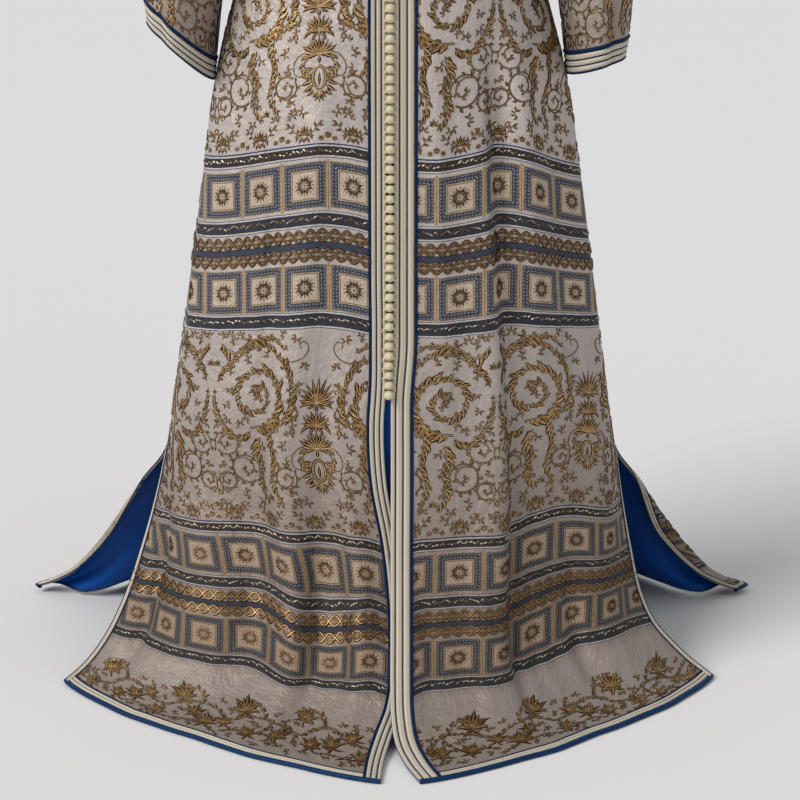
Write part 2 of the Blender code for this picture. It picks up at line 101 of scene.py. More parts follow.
BACK_SECTIONS = [
    Section(.075, .000, 1.460, .195, .000, 1.410, 1.00),    # shoulder seam
    Section(.052, .032, 1.450, .188, .026, 1.380, 1.10),
    Section(.026, .048, 1.444, .181, .043, 1.345, 1.25),
    Section(.000, .053, 1.442, .177, .050, 1.305, 1.45),    # foot of the neckline
    Section(.000, .082, 1.385, .179, .042, 1.258, 1.70),
    Section(.000, .098, 1.310, .190, .000, 1.220, 2.00),    # underarm
    Section(.000, .103, 1.220, .186, .000, 1.160, 2.15),
    Section(.000, .100, 1.120, .180, .000, 1.090, 2.20),
    Section(.000, .102, 1.020, .183, .000, 1.010, 2.20),    # waist
    Section(.000, .118, .930, .199, .000, .925, 2.20),
    Section(.000, .130, .840, .2215, .000, .840, 2.20),     # hip
    Section(.000, .137, .750, .238, .000, .750, 2.20),
    Section(.000, .145, .650, .2535, .000, .650, 2.15),
    Section(.000, .154, .550, .268, .000, .550, 2.10),
    Section(.000, .166, .455, .2825, .000, .455, 2.05),
    Section(.000, .184, .367, .2965, .000, .367, 2.00),
    Section(.000, .208, .287, .3085, .000, .287, 1.90),     # top of the side slits
    Section(.000, .236, .212, .350, .050, .225, 1.78),
    Section(.000, .268, .150, .386, .096, .168, 1.65),
    Section(.000, .300, .100, .417, .134, .118, 1.54),
    Section(.000, .332, .062, .446, .165, .078, 1.45),
    Section(.000, .362, .034, .473, .190, .048, 1.38),
    Section(.000, .390, .014, .497, .206, .030, 1.33),
    Section(.000, .414, .006, .516, .216, .019, 1.30),
    Section(.000, .436, .0036, .532, .224, .0120, 1.28),    # hem of the short train
]
SHOULDER_ROW = 0
UNDERARM_ROW = 5
FRONT_NECK_ROW = 4
BACK_NECK_ROW = 3
SLIT_ROW = 16
LIFT_ROW = 19             # below this section the cloth starts to settle on the floor
HEM_ROW = len(FRONT_SECTIONS) - 1

# The fronts' edges below the buttons. A row for each section from the last button down: where each
# centre edge lies across, how far the right one is tucked in behind the left, and how much further
# out and back each front's slit edge lies than its section says.
FrontEdge = namedtuple("FrontEdge", "row right_x right_tuck left_x right_out left_out left_back")
FRONT_EDGES = [
    FrontEdge(14, -.0003, .000, .0003, .000, .000, .000),
    FrontEdge(15, -.0085, .000, .0003, .000, .000, .000),  # below the last button the V opens
    FrontEdge(16, -.0050, .006, .0003, .000, .000, .000),
    FrontEdge(17, .0090, .015, .0000, .002, -.004, .000),  # the wearer's left front laps over
    FrontEdge(18, .0170, .021, .0000, .003, -.010, .000),
    FrontEdge(19, .0195, .023, .0000, .003, -.016, .000),
    FrontEdge(20, .0200, .023, .0000, .003, -.016, .004),
    FrontEdge(21, .0150, .023, .0010, .002, -.010, .010),
    FrontEdge(22, .0020, .020, .0065, .002, -.004, .014),
    FrontEdge(23, -.0070, .010, .0190, .003, .000, .016),  # and the hems part
    FrontEdge(24, -.0110, .000, .0360, .004, .001, .018),
]

# Folds: where a fold runs across the panel at its start and at the hem, as a share of the section;
# the section rows where it starts and is full; its half width; how far it stands out (+) or sinks
# in (-) there; and the share of that which is left where the cloth lies on the floor.
Fold = namedtuple("Fold", "start_at hem_at start_row full_row half_width stand_out on_floor")
FOLDS = {
    "front_right": [
        Fold(.24, .20, 12, 18, .020, -.010, .1),
        Fold(.38, .33, 11, 19, .030, .012, .2),
        Fold(.52, .50, 12, 18, .030, -.011, .2),
        Fold(.70, .72, 14, 18, .035, .011, .2),
    ],
    "front_left": [
        Fold(.40, .36, 9, 18, .030, .015, .2),
        Fold(.55, .50, 9, 16, .024, -.019, .1),
        Fold(.78, .76, 12, 18, .034, .011, .2),
    ],
    "back": [                                   # mirrored about the centre back
        Fold(.10, .12, 12, 20, .040, -.012, .5),
        Fold(.28, .30, 10, 19, .040, .016, .5),
        Fold(.48, .48, 13, 20, .035, -.014, .5),
    ],
}

# Inside each slit the back swings forward: at this share of its section, over this half width, and
# by this much on each section from the top of the slits to the hem.
SWING_AT = 0.815
SWING_HALF_WIDTH = 0.075
SWING_CLEAR = 0.090       # from the slit edge, which stays where it is
SWING_FORWARD = [0, .012, .028, .044, .056, .066, .074, .080, .084]

# The sleeve: a row for each ring from the armhole to the cuff, with its point nearest the body, its
# point furthest out, and its half depth front to back. The tube hangs just clear of the body.
Ring = namedtuple("Ring", "near_x near_h far_x far_h middle_y half_depth")
SLEEVE_LEFT = [
    Ring(.1965, 1.2000, .236, 1.398, .000, .064),
    Ring(.1975, 1.1780, .272, 1.360, .000, .067),
    Ring(.1985, 1.1450, .298, 1.295, .001, .068),
    Ring(.2000, 1.0950, .311, 1.200, .002, .068),
    Ring(.2035, 1.0300, .317, 1.100, .001, .067),
    Ring(.2120, .9600, .318, 1.005, -.003, .066),
    Ring(.2220, .8900, .317, .920, -.008, .066),
    Ring(.2290, .8350, .314, .862, -.011, .066),
    Ring(.2325, .8000, .308, .822, -.013, .065),
]
SLEEVE_RIGHT = [
    Ring(.1965, 1.2000, .236, 1.398, .000, .064),
    Ring(.1975, 1.1780, .272, 1.360, .000, .067),
    Ring(.1985, 1.1450, .298, 1.295, .000, .068),
    Ring(.2000, 1.0950, .313, 1.200, -.002, .068),
    Ring(.2035, 1.0300, .321, 1.105, -.006, .067),
    Ring(.2120, .9600, .321, 1.020, -.012, .066),
    Ring(.2215, .8900, .322, .948, -.018, .066),
    Ring(.2280, .8320, .320, .898, -.022, .066),
    Ring(.2315, .7930, .317, .868, -.024, .065),
]


# ---- curves ---------------------------------------------------------------------------------------
def smooth(knots, values, at):
    """Cubic through the values at the knots, with no corner at a knot."""
    knots = np.asarray(knots, float)
    values = np.asarray(values, float)
    slope = np.gradient(values, knots, axis=0)
    at = np.clip(at, knots[0], knots[-1])
    i = np.clip(np.searchsorted(knots, at, side="right") - 1, 0, len(knots) - 2)
    step = knots[i + 1] - knots[i]
    t = (at - knots[i]) / step
    if values.ndim > 1:
        t = t[..., None]
        step = step[..., None]
    return (values[i] * (1 + 2 * t) * (1 - t) ** 2 + values[i + 1] * t * t * (3 - 2 * t)
            + slope[i] * step * t * (1 - t) ** 2 - slope[i + 1] * step * t * t * (1 - t))


def ease(x):
    x = np.clip(x, 0.0, 1.0)
    return x * x * (3 - 2 * x)


def evenly(curve, shares):
    """Points at the given shares of a polyline's length."""
    length = np.concatenate([[0], np.cumsum(np.linalg.norm(np.diff(curve, axis=0), axis=1))])
    return np.stack([np.interp(shares * length[-1], length, curve[:, k]) for k in range(3)], axis=1)


def curve_length(curve):
    return np.linalg.norm(np.diff(curve, axis=0), axis=1).sum()


def mirrored(grid):
    return grid * np.array([-1.0, 1.0, 1.0])


# ---- panels ---------------------------------------------------------------------------------------
def section_table(name):
    """The panel's sections as an array, with its centre edge put in for a front."""
    sections = BACK_SECTIONS if name == "back" else FRONT_SECTIONS
    table = np.array(sections, float)
    if name == "back":
        table[:, 4] += SEAM / 2
    else:
        table[:, 4] -= SEAM / 2
        table[FRONT_NECK_ROW:FRONT_EDGES[0].row, 0] = GAP
        for edge in FRONT_EDGES:
            if name == "front_right":
                table[edge.row, 0] -= edge.right_x      # this front is mirrored to -X later
                table[edge.row, 1] += edge.right_tuck
                table[edge.row, 3] += edge.right_out
            else:
                table[edge.row, 0] += edge.left_x
                table[edge.row, 3] += edge.left_out
                table[edge.row, 4] += edge.left_back
    return table


def section_curve(name, table, row):
    """The closely spaced points of the section at a row, which may lie between two rows."""
    inner_x, inner_y, inner_h, side_x, side_y, side_h, power = smooth(
        np.arange(len(table)), table, np.array([row]))[0]
    turn = np.linspace(0, math.pi / 2, SECTION_POINTS)
    across = np.sin(turn) ** (2 / power)
    out = np.cos(turn) ** (2 / power)
    curve = np.stack([inner_x + (side_x - inner_x) * across,
                      side_y + (inner_y - side_y) * out,
                      np.zeros_like(turn)], axis=1)
    curve = evenly(curve, np.linspace(0, 1, SECTION_POINTS))
    share = np.linspace(0, 1, SECTION_POINTS)
    curve[:, 2] = inner_h + (side_h - inner_h) * share

    along = np.gradient(curve[:, :2], axis=0)
    along /= np.linalg.norm(along, axis=1)[:, None]
    outward = np.stack([along[:, 1], -along[:, 0]], axis=1)
    if name == "back":
        outward = -outward
    length = curve_length(curve)
    hem_row = len(table) - 1
    shift = np.zeros_like(share)
    lying = ease((row - LIFT_ROW) / (hem_row - LIFT_ROW))
    for fold in FOLDS[name]:
        down = (row - fold.start_row) / (hem_row - fold.start_row)
        place = fold.start_at + (fold.hem_at - fold.start_at) * np.clip(down, 0, 1)
        grown = ease((row - fold.start_row) / (fold.full_row - fold.start_row))
        reach = (share - place) * length / fold.half_width
        left = 1 - (1 - fold.on_floor) * lying
        shift += fold.stand_out * grown * left * np.exp(-reach ** 2)
    shift += crease_shift(name, row, share, length)
    shift *= ease(share * length / FRONT_BAND) * ease((1 - share) * length / (3 * SLIT_BAND))
    curve[:, :2] += outward * shift[:, None]
    if name == "back" and row > SLIT_ROW:
        forward = np.interp(row, range(SLIT_ROW, hem_row + 1), SWING_FORWARD)
        reach = (share - SWING_AT) * length / SWING_HALF_WIDTH
        curve[:, 1] -= forward * np.exp(-reach ** 2) * ease((1 - share) * length / SWING_CLEAR)
    return curve


# ---- creases that only the looks have -----------------------------------------------------------
# Where a crease runs across the section at its start and end rows (as a share), the rows where it
# starts, is full, starts to fade and ends, its half width, and how far it stands out (metres), which
# CREASE_DEPTH then multiplies.
CREASE_DEPTH = 1.45
Crease = namedtuple("Crease", "start_at end_at start_row full_row fade_row end_row half_width depth")
CREASES = {
    "front_right": [
        Crease(.30, .34, 10.2, 11.4, 13.0, 14.8, .020, .0040),
        Crease(.66, .58, 10.0, 11.2, 13.5, 16.0, .022, -.0045),
        Crease(.86, .80, 9.0, 11.0, 15.0, 19.0, .020, .0050),
        Crease(.47, .46, 11.5, 13.0, 15.5, 18.0, .012, -.0045),
        Crease(.14, .13, 15.0, 18.5, 22.5, 24.0, .018, .0070),
        Crease(.285, .275, 16.0, 18.0, 22.5, 24.0, .014, -.0110),
        Crease(.60, .56, 17.0, 19.0, 21.0, 23.8, .030, .0060),
        Crease(.88, .86, 16.6, 18.0, 20.5, 22.5, .014, -.0080),
        Crease(.44, .44, 20.5, 22.0, 23.4, 24.0, .010, .0030),
        Crease(.74, .70, 20.5, 22.2, 23.4, 24.0, .012, -.0030),
        Crease(.50, .40, 5.0, 6.5, 8.0, 10.0, .016, .0040),
        Crease(.70, .60, 4.6, 5.4, 7.0, 9.0, .014, -.0040),
    ],
    "front_left": [
        Crease(.20, .19, 9.0, 10.5, 13.0, 16.5, .014, .0035),
        Crease(.46, .40, 9.5, 11.0, 20.0, 23.5, .013, -.0120),
        Crease(.58, .50, 9.5, 11.0, 20.0, 23.5, .016, .0090),
        Crease(.74, .70, 10.0, 11.6, 14.5, 18.0, .018, -.0045),
        Crease(.90, .86, 9.0, 11.0, 14.0, 18.0, .018, .0050),
        Crease(.30, .29, 16.0, 18.5, 21.0, 23.5, .020, .0060),
        Crease(.66, .64, 17.0, 19.0, 21.0, 23.5, .014, -.0060),
        Crease(.12, .12, 16.5, 19.0, 22.0, 24.0, .014, -.0040),
        Crease(.40, .38, 20.8, 22.2, 23.5, 24.0, .012, -.0030),
        Crease(.45, .38, 5.0, 6.5, 8.0, 10.0, .015, .0040),
        Crease(.72, .62, 4.8, 5.6, 7.2, 9.0, .013, -.0040),
    ],
    "back": [
        Crease(.36, .40, 9.5, 11.0, 15.0, 19.0, .016, -.0060),
        Crease(.60, .62, 10.5, 12.0, 16.0, 20.0, .018, .0060),
        Crease(.20, .20, 8.5, 10.0, 14.0, 18.0, .014, .0050),
        Crease(.72, .66, 17.0, 18.5, 21.5, 23.8, .020, .0090),
        Crease(.60, .52, 17.5, 19.5, 22.0, 24.0, .018, -.0090),
        Crease(.30, .26, 5.0, 6.0, 8.0, 10.0, .018, .0045),
        Crease(.55, .45, 5.2, 6.4, 8.5, 10.0, .016, -.0045),
    ],
}

# Soft uneven ripples over every cloth: wave numbers per metre across and down, phase and height.
Ripple = namedtuple("Ripple", "across down phase height")
RIPPLES = [
    Ripple(9.0, 3.1, 0.4, .0011),
    Ripple(14.0, -5.2, 2.1, .0008),
    Ripple(23.0, 6.7, 4.0, .0005),
    Ripple(31.0, -13.0, 1.2, .0004),
    Ripple(17.0, 19.0, 5.1, .0004),
]

# Inside each slit the back's edge wraps round to the front, so that its outer face shows: by this
# much more cloth on the wearer's left, and by a hair on the right.
WRAP = {"left": 0.036, "right": 0.014}
WRAP_RADIUS = 0.0055
WRAP_TURN = math.radians(82)
WRAP_FULL_ROW = 19.0
WRAP_STEPS = 36


def crease_shift(name, row, share, length):
    """How far the creases move the section at a row, at each share of its length."""
    shift = np.zeros_like(share)
    for c in CREASES[name]:
        if not c.start_row < row < c.end_row + 1:
            continue
        place = c.start_at + (c.end_at - c.start_at) * (row - c.start_row) / (c.end_row - c.start_row)
        grown = ease((row - c.start_row) / (c.full_row - c.start_row))
        grown *= 1 - ease((row - c.fade_row) / (c.end_row - c.fade_row + 1e-6))
        reach = (share - place) * length / c.half_width
        shift += CREASE_DEPTH * c.depth * grown * np.exp(-reach ** 2)
    return shift


def wrapped(curve, width):
    """The section carried on past its side point, round a small radius and then inwards."""
    way = curve[-1, :2] - curve[-8, :2]
    heading = math.atan2(way[1], way[0])
    reach = np.linspace(0, width, WRAP_STEPS + 1)[1:]
    bend = np.minimum(reach / WRAP_RADIUS, WRAP_TURN)
    middle = heading - (np.concatenate([[0], bend[:-1]]) + bend) / 2
    way = np.stack([np.cos(middle), np.sin(middle)], axis=1)
    line = curve[-1, :2] + np.cumsum(way * width / WRAP_STEPS, axis=0)
    rise = np.full((WRAP_STEPS, 1), curve[-1, 2])
    return np.concatenate([curve, np.concatenate([line, rise], axis=1)])


# ---- the cloths -----------------------------------------------------------------------------------
FLOOR_STRETCH = 1.118     # below this much cloth from the hem the woven design is set out wider
STRETCH_BELOW = 0.370


def front_run():
    """Cloth length from the hem up to each section, along the centre front."""
    line = np.array([(s.inner_y, s.inner_h) for s in FRONT_SECTIONS])
    line[:FRONT_NECK_ROW, 0] = line[FRONT_NECK_ROW, 0]
    steps = np.linalg.norm(np.diff(line, axis=0), axis=1)
    return np.concatenate([np.cumsum(steps[::-1])[::-1], [0]])


def design_height(run):
    """p, the height in the woven design, from the cloth length up from the hem."""
    return np.where(run > STRETCH_BELOW, run, STRETCH_BELOW - FLOOR_STRETCH * (STRETCH_BELOW - run))


# Folds take cloth up, so the woven bands wander from the straight. Each row is one stretch where
# the design is slipped down the cloth, or up it: its middle as a share of the way across from the
# centre and as a height p in the design, how far it reaches across and along, and how much it drops.
Slip = namedtuple("Slip", "share p reach_share reach_p drop")
SLIPS = {
    "front_right": [
        Slip(.00, .75, .18, .45, .010),
        Slip(.27, .80, .15, .45, -.003),
        Slip(.85, .80, .60, .45, .026),
        Slip(.00, .22, .12, .30, .024),
        Slip(.27, .20, .22, .18, .027),
        Slip(1.0, .38, .50, .20, .012),
    ],
    "front_left": [
        Slip(.15, .85, .40, .45, .018),
        Slip(1.0, .85, .60, .45, .042),
        Slip(.00, .20, .10, .30, .018),
        Slip(.62, .38, .28, .25, -.022),
        Slip(.80, .20, .50, .16, -.032),
    ],
    "back": [
        Slip(.30, .85, .25, .45, .010),
        Slip(.52, .75, .22, .45, -.005),
        Slip(1.0, .80, .55, .45, .030),
        Slip(.22, .30, .20, .22, .011),
        Slip(.45, .27, .20, .20, -.012),
        Slip(.72, .27, .22, .20, .014),
    ],
}


def swell(x):
    """1 at 0, falling smoothly to 0 at 1 to either side."""
    return .5 + .5 * np.cos(math.pi * np.clip(x, -1, 1))


class Cloth:
    """A grid of points with outward normals. Row by row it has the s of its two side edges and p."""

    def __init__(self, points, normals, first, last, p, slips=()):
        self.points = points
        self.normals = normals
        self.first = first
        self.last = last
        self.p = p
        self.slips = slips

    def slip(self, share, p):
        """How far the design is slipped down the cloth at a share of the way across."""
        found = np.zeros(np.broadcast(share, p).shape)
        for row in self.slips:
            across = swell((share - row.share) / row.reach_share)
            found += row.drop * across * swell((p - row.p) / row.reach_p)
        return found

    def unslipped(self, s, p):
        """The place on the cloth, before slipping, of a place in the design."""
        index = np.arange(len(self.p))
        found = p
        for _ in range(5):
            row = self.row_at(found)
            first = np.interp(row, index, self.first)
            last = np.interp(row, index, self.last)
            found = p - self.slip((s - first) / (last - first), found)
        return found

    def place(self, row, column, lift):
        """The point at fractions of rows and columns, lifted off the outer face."""
        rows, columns, _ = self.points.shape
        row = np.clip(row, 0, rows - 1.0001)
        column = np.clip(column, 0, columns - 1.0001)
        r = row.astype(int)
        c = column.astype(int)
        u = (row - r)[..., None]
        v = (column - c)[..., None]
        found = []
        for grid in (self.points, self.normals):
            found.append((grid[r, c] * (1 - v) + grid[r, c + 1] * v) * (1 - u)
                         + (grid[r + 1, c] * (1 - v) + grid[r + 1, c + 1] * v) * u)
        normal = found[1] / np.linalg.norm(found[1], axis=-1, keepdims=True)
        return found[0] + normal * np.asarray(lift)[..., None]

    def row_at(self, p):
        return np.interp(-np.asarray(p, float), -self.p, np.arange(len(self.p)))

    def column_at(self, row, s):
        first = np.interp(row, np.arange(len(self.p)), self.first)
        last = np.interp(row, np.arange(len(self.p)), self.last)
        return (s - first) / (last - first) * (self.points.shape[1] - 1)

    def at(self, s, p, lift):
        row = self.row_at(self.unslipped(s, p))
        return self.place(row, self.column_at(row, s), lift)

    def inside(self, s, p, margin):
        p = self.unslipped(s, p)
        row = self.row_at(p)
        index = np.arange(len(self.p))
        ok = (s > np.interp(row, index, self.first) + margin[0])
        ok &= (s < np.interp(row, index, self.last) - margin[1])
        return ok & (p < self.p[0] - .004) & (p > self.p[-1] + margin[2])

    def hem_row(self, column, up):
        """The row that lies this far up the cloth from the hem, at each column."""
        c = np.clip(np.round(column).astype(int), 0, self.points.shape[1] - 1)
        step = np.linalg.norm(self.points[-1, c] - self.points[-4, c], axis=-1) / 3
        return self.points.shape[0] - 1 - up / step


def grid_normals(points, outward):
    """The unit normals of a grid of points, on the side that outward is on."""
    normals = np.cross(np.gradient(points, axis=0), np.gradient(points, axis=1))
    normals /= np.linalg.norm(normals, axis=2)[:, :, None] + 1e-12
    return normals if np.sum(normals * outward) >= 0 else -normals


def panel_normals(points, name, closed):
    """A panel's normals. The back's are kept in the middle plane where its two halves meet."""
    normals = grid_normals(points, np.array([.4, 1 if name == "back" else -1, .3]))
    if name == "back":
        normals[closed, 0, 0] = 0.0
        normals /= np.linalg.norm(normals, axis=2)[:, :, None]
    return normals


def panel_cloth(name, side):
    """A front, or one half of the back, from the shoulder to the hem."""
    table = section_table(name)
    rows = np.linspace(0, HEM_ROW, ROWS)
    curves = []
    wraps = WRAP[side] * ease((rows - SLIT_ROW) / (WRAP_FULL_ROW - SLIT_ROW))
    for row, wrap in zip(rows, wraps):
        curve = section_curve(name, table, row)
        if name == "back" and wrap > .001:
            curve = wrapped(curve, wrap)
        curves.append(evenly(curve, np.linspace(0, 1, COLUMNS)))
    points = np.array(curves)
    points[:, :, 2] -= SHOULDER_HEIGHT
    closed = rows >= BACK_NECK_ROW
    if name == "back":
        points[:, :, 0] = np.maximum(points[:, :, 0], 0)
        points[closed, 0, 0] = 0.0
    normals = panel_normals(points, name, closed)
    length = np.linalg.norm(np.diff(points, axis=1), axis=2).sum(axis=1)
    s = np.linspace(0, 1, COLUMNS)[None, :] * length[:, None]
    run = np.interp(rows, np.arange(HEM_ROW + 1), front_run())
    if name == "back":
        middle = points[:, COLUMNS // 2]
        steps = np.linalg.norm(np.diff(middle, axis=0), axis=1)
        slit = int(np.searchsorted(rows, SLIT_ROW))
        below = np.concatenate([[0], np.cumsum(steps[slit:])])
        run[slit:] = run[slit] - below
    t = run[:, None] * np.ones_like(s)
    ripple = np.zeros_like(s)
    for wave in RIPPLES:
        ripple += wave.height * np.sin(wave.across * s + wave.down * t + wave.phase
                                       + 1.3 * np.sin(4.1 * t + wave.phase + (name == "back")))
    fade = ease(s / FRONT_BAND) * ease((length[:, None] - s) / (3 * SLIT_BAND)) * ease(t / .06 + .2)
    points = points + normals * (ripple * fade)[..., None]
    normals = panel_normals(points, name, closed)
    if side == "right":
        points = mirrored(points)
        normals = mirrored(normals)
    neck_row = BACK_NECK_ROW if name == "back" else FRONT_NECK_ROW
    first = np.where(rows < neck_row, np.abs(points[:, 0, 0]), 0.0)
    return Cloth(points, normals, first, first + length, design_height(run), SLIPS[name])


def armhole(angle):
    """Point of the armhole at an angle round it: 0 underarm, a quarter at the front, half on top."""
    front = section_table("front_left")[:UNDERARM_ROW + 1, 3:6]
    back = section_table("back")[:UNDERARM_ROW + 1, 3:6]
    turn = angle / math.pi
    if turn <= 1:
        return smooth(np.arange(UNDERARM_ROW + 1), front, np.array([UNDERARM_ROW * (1 - turn)]))[0]
    return smooth(np.arange(UNDERARM_ROW + 1), back, np.array([UNDERARM_ROW * (turn - 1)]))[0]


# Folds of a sleeve: the angle round it and the share of its length where each is deepest, how far
# it slants, its half widths round and along, and how far it stands out.
SleeveFold = namedtuple("SleeveFold", "angle along slant half_angle half_along depth")
SLEEVE_FOLDS = [
    SleeveFold(2.2, .16, 1.5, .30, .10, .0060),
    SleeveFold(1.2, .22, -1.2, .26, .10, -.0050),
    SleeveFold(2.9, .40, 1.8, .28, .12, .0055),
    SleeveFold(1.8, .50, -1.4, .24, .10, -.0060),
    SleeveFold(2.6, .62, 1.4, .26, .12, .0050),
    SleeveFold(1.5, .74, .8, .22, .16, .0045),
    SleeveFold(2.1, .84, -.5, .20, .16, -.0055),
    SleeveFold(3.6, .30, -1.2, .30, .12, .0055),
    SleeveFold(4.4, .55, 1.2, .28, .14, -.0055),
    SleeveFold(4.0, .80, .6, .24, .14, .0050),
    SleeveFold(5.0, .25, 1.0, .26, .10, -.0045),
]
SLEEVE_P_AT_CUFF = 0.395  # where in the woven design a sleeve ends
ARMHOLE_RINGS = 5         # between the armhole and the first ring of the tube


def sleeve_cloth(side):
    """A sleeve, from its armhole to its cuff, with its closing line at the underarm."""
    rings = SLEEVE_LEFT if side == "left" else SLEEVE_RIGHT
    angles = np.linspace(0, 2 * math.pi, SLEEVE_COLUMNS)
    head = np.array([armhole(a) for a in angles])
    head[:, 0] += 3 * SEAM
    head[:, 2] += SEAM * -np.cos(angles)
    table = np.array(rings, float)
    at = np.linspace(0, len(rings) - 1, SLEEVE_ROWS)
    shape = smooth(np.arange(len(rings)), table, at)
    grid = []
    for near_x, near_h, far_x, far_h, middle_y, half_depth in shape:
        middle = np.array([(near_x + far_x) / 2, middle_y, (near_h + far_h) / 2])
        half = np.array([(far_x - near_x) / 2, 0, (far_h - near_h) / 2])
        grid.append(middle - half * np.cos(angles)[:, None]
                    - np.array([0, half_depth, 0]) * np.sin(angles)[:, None])
    body = np.array(grid)
    first = [head * (1 - w) + body[0] * w for w in np.linspace(0, 1, ARMHOLE_RINGS + 1)[:-1]]
    points = np.concatenate([np.array(first), body])
    points[:, :, 2] -= SHOULDER_HEIGHT
    outward = np.stack([-np.cos(angles), -np.sin(angles), 0 * angles], axis=1)[None]
    normals = closed_normals(grid_normals(points, outward))
    along = np.linspace(0, 1, len(points))[:, None]
    shift = np.zeros((len(points), SLEEVE_COLUMNS))
    for fold in SLEEVE_FOLDS:
        turn = angles[None, :] - fold.angle - fold.slant * (along - fold.along)
        turn = (turn + math.pi) % (2 * math.pi) - math.pi
        shift += fold.depth * np.exp(-(turn / fold.half_angle) ** 2
                                     - ((along - fold.along) / fold.half_along) ** 2)
    outer = ease((1 - np.cos(angles)) / 1.2)[None, :]
    shift *= outer * ease(along / .08)
    points = points + normals * shift[..., None]
    normals = closed_normals(grid_normals(points, outward))
    if side == "right":
        points = mirrored(points)
        normals = mirrored(normals)
    middle = points.mean(axis=1)
    steps = np.linalg.norm(np.diff(middle, axis=0), axis=1)
    p = np.concatenate([np.cumsum(steps[::-1])[::-1], [0]]) + SLEEVE_P_AT_CUFF
    length = np.linalg.norm(np.diff(points, axis=1), axis=2).sum(axis=1)
    return Cloth(points, normals, np.zeros(len(points)), length, p)


def closed_normals(normals):
    """A tube's normals, made the same on both sides of its closing line."""
    both = normals[:, 0] + normals[:, -1]
    both /= np.linalg.norm(both, axis=1)[:, None]
    normals[:, 0] = both
    normals[:, -1] = both
    return normals


# ---- meshes ---------------------------------------------------------------------------------------
def new_piece(name, points, faces, material, uv=None, smooth_faces=True):
    """A mesh object from arrays. uv is given for each point."""
    points = np.asarray(points, np.float32).reshape(-1, 3)
    faces = np.asarray(faces, np.int32)
    mesh = bpy.data.meshes.new(name)
    corners = faces.shape[1]
    mesh.vertices.add(len(points))
    mesh.vertices.foreach_set("co", points.ravel())
    mesh.loops.add(faces.size)
    mesh.loops.foreach_set("vertex_index", faces.ravel())
    mesh.polygons.add(len(faces))
    mesh.polygons.foreach_set("loop_start", np.arange(0, faces.size, corners, dtype=np.int32))
    mesh.update(calc_edges=True)
    if uv is not None:
        layer = mesh.uv_layers.new(name="cloth")
        uv = np.asarray(uv, np.float32).reshape(-1, 2)
        layer.data.foreach_set("uv", uv[faces.ravel()].ravel())
    if smooth_faces:
        mesh.shade_smooth()
    mesh.validate()
    mesh.materials.append(material)
    piece = bpy.data.objects.new(name, mesh)
    bpy.context.scene.collection.objects.link(piece)
    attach(piece, "root")
    return piece


def grid_quads(rows, columns):
    r, c = np.meshgrid(np.arange(rows - 1), np.arange(columns - 1), indexing="ij")
    a = (r * columns + c).ravel()
    return np.stack([a, a + columns, a + columns + 1, a + 1], axis=1)


def faces_out(points, normals, quads):
    """The quads, turned so that they face along the normals."""
    corners = points.reshape(-1, 3)[quads]
    facing = np.cross(corners[:, 1] - corners[:, 0], corners[:, 2] - corners[:, 0])
    if np.sum(facing * normals.reshape(-1, 3)[quads[:, 0]]) < 0:
        return quads[:, ::-1]
    return quads


def shell(name, cloths, top, thickness, material, slot, uvs, rows=slice(None), short=(0, 0)):
    """A thin closed shell on one or two grids that share an edge, with rims along its open edges.

    short is how many columns each grid stops before its side edge.
    """
    points = []
    normals = []
    quads = []
    uv = []
    start = 0
    for cloth, map_uv, cut in zip(cloths, uvs, short):
        columns = slice(cloth.points.shape[1] - cut)
        grid = cloth.points[rows, columns]
        normal = cloth.normals[rows, columns]
        faces = faces_out(grid, normal, grid_quads(*grid.shape[:2])) + start
        quads.append(faces)
        points.append(grid.reshape(-1, 3))
        normals.append(normal.reshape(-1, 3))
        uv.append(map_uv[rows, columns].reshape(-1, 2))
        start += grid.shape[0] * grid.shape[1]
    points = np.concatenate(points)
    normals = np.concatenate(normals)
    quads = np.concatenate(quads)
    uv = np.concatenate(uv)
    _, kept, number = np.unique(np.round(points, 6), axis=0, return_index=True, return_inverse=True)
    number = number.reshape(-1)
    points, normals, uv, quads = points[kept], normals[kept], uv[kept], number[quads]
    edges = np.concatenate([quads[:, [k, (k + 1) % 4]] for k in range(4)])
    key = np.sort(edges, axis=1)
    _, index, count = np.unique(key, axis=0, return_inverse=True, return_counts=True)
    rim = edges[count[index.reshape(-1)] == 1]
    total = len(points)
    sides = np.stack([rim[:, 1], rim[:, 0], rim[:, 0] + total, rim[:, 1] + total], axis=1)
    both = np.concatenate([points + normals * top, points + normals * (top - thickness)])
    faces = np.concatenate([quads, quads[:, ::-1] + total, sides])
    return new_piece(name, both, faces, material, np.concatenate([uv, uv]))


def cloth_uv(cloth, axis=0.0, closed=False):
    """Where each point lies in the woven design. A closed cloth's columns are as far apart all along."""
    share = np.linspace(0, 1, cloth.points.shape[1])[None, :]
    s = cloth.first[:, None] + share * (cloth.last - cloth.first)[:, None]
    if closed:
        s = share * np.full_like(cloth.last, cloth.last.mean())[:, None]
    p = cloth.p[:, None] + 0 * s
    return np.stack([s - axis, p + cloth.slip(share + 0 * s, p)], axis=2)


# ---- beads along an edge ----------------------------------------------------------------------------
# A bead is a raised row of braid or cord. It lies between two distances from its edge.
Bead = namedtuple("Bead", "kind start end height")


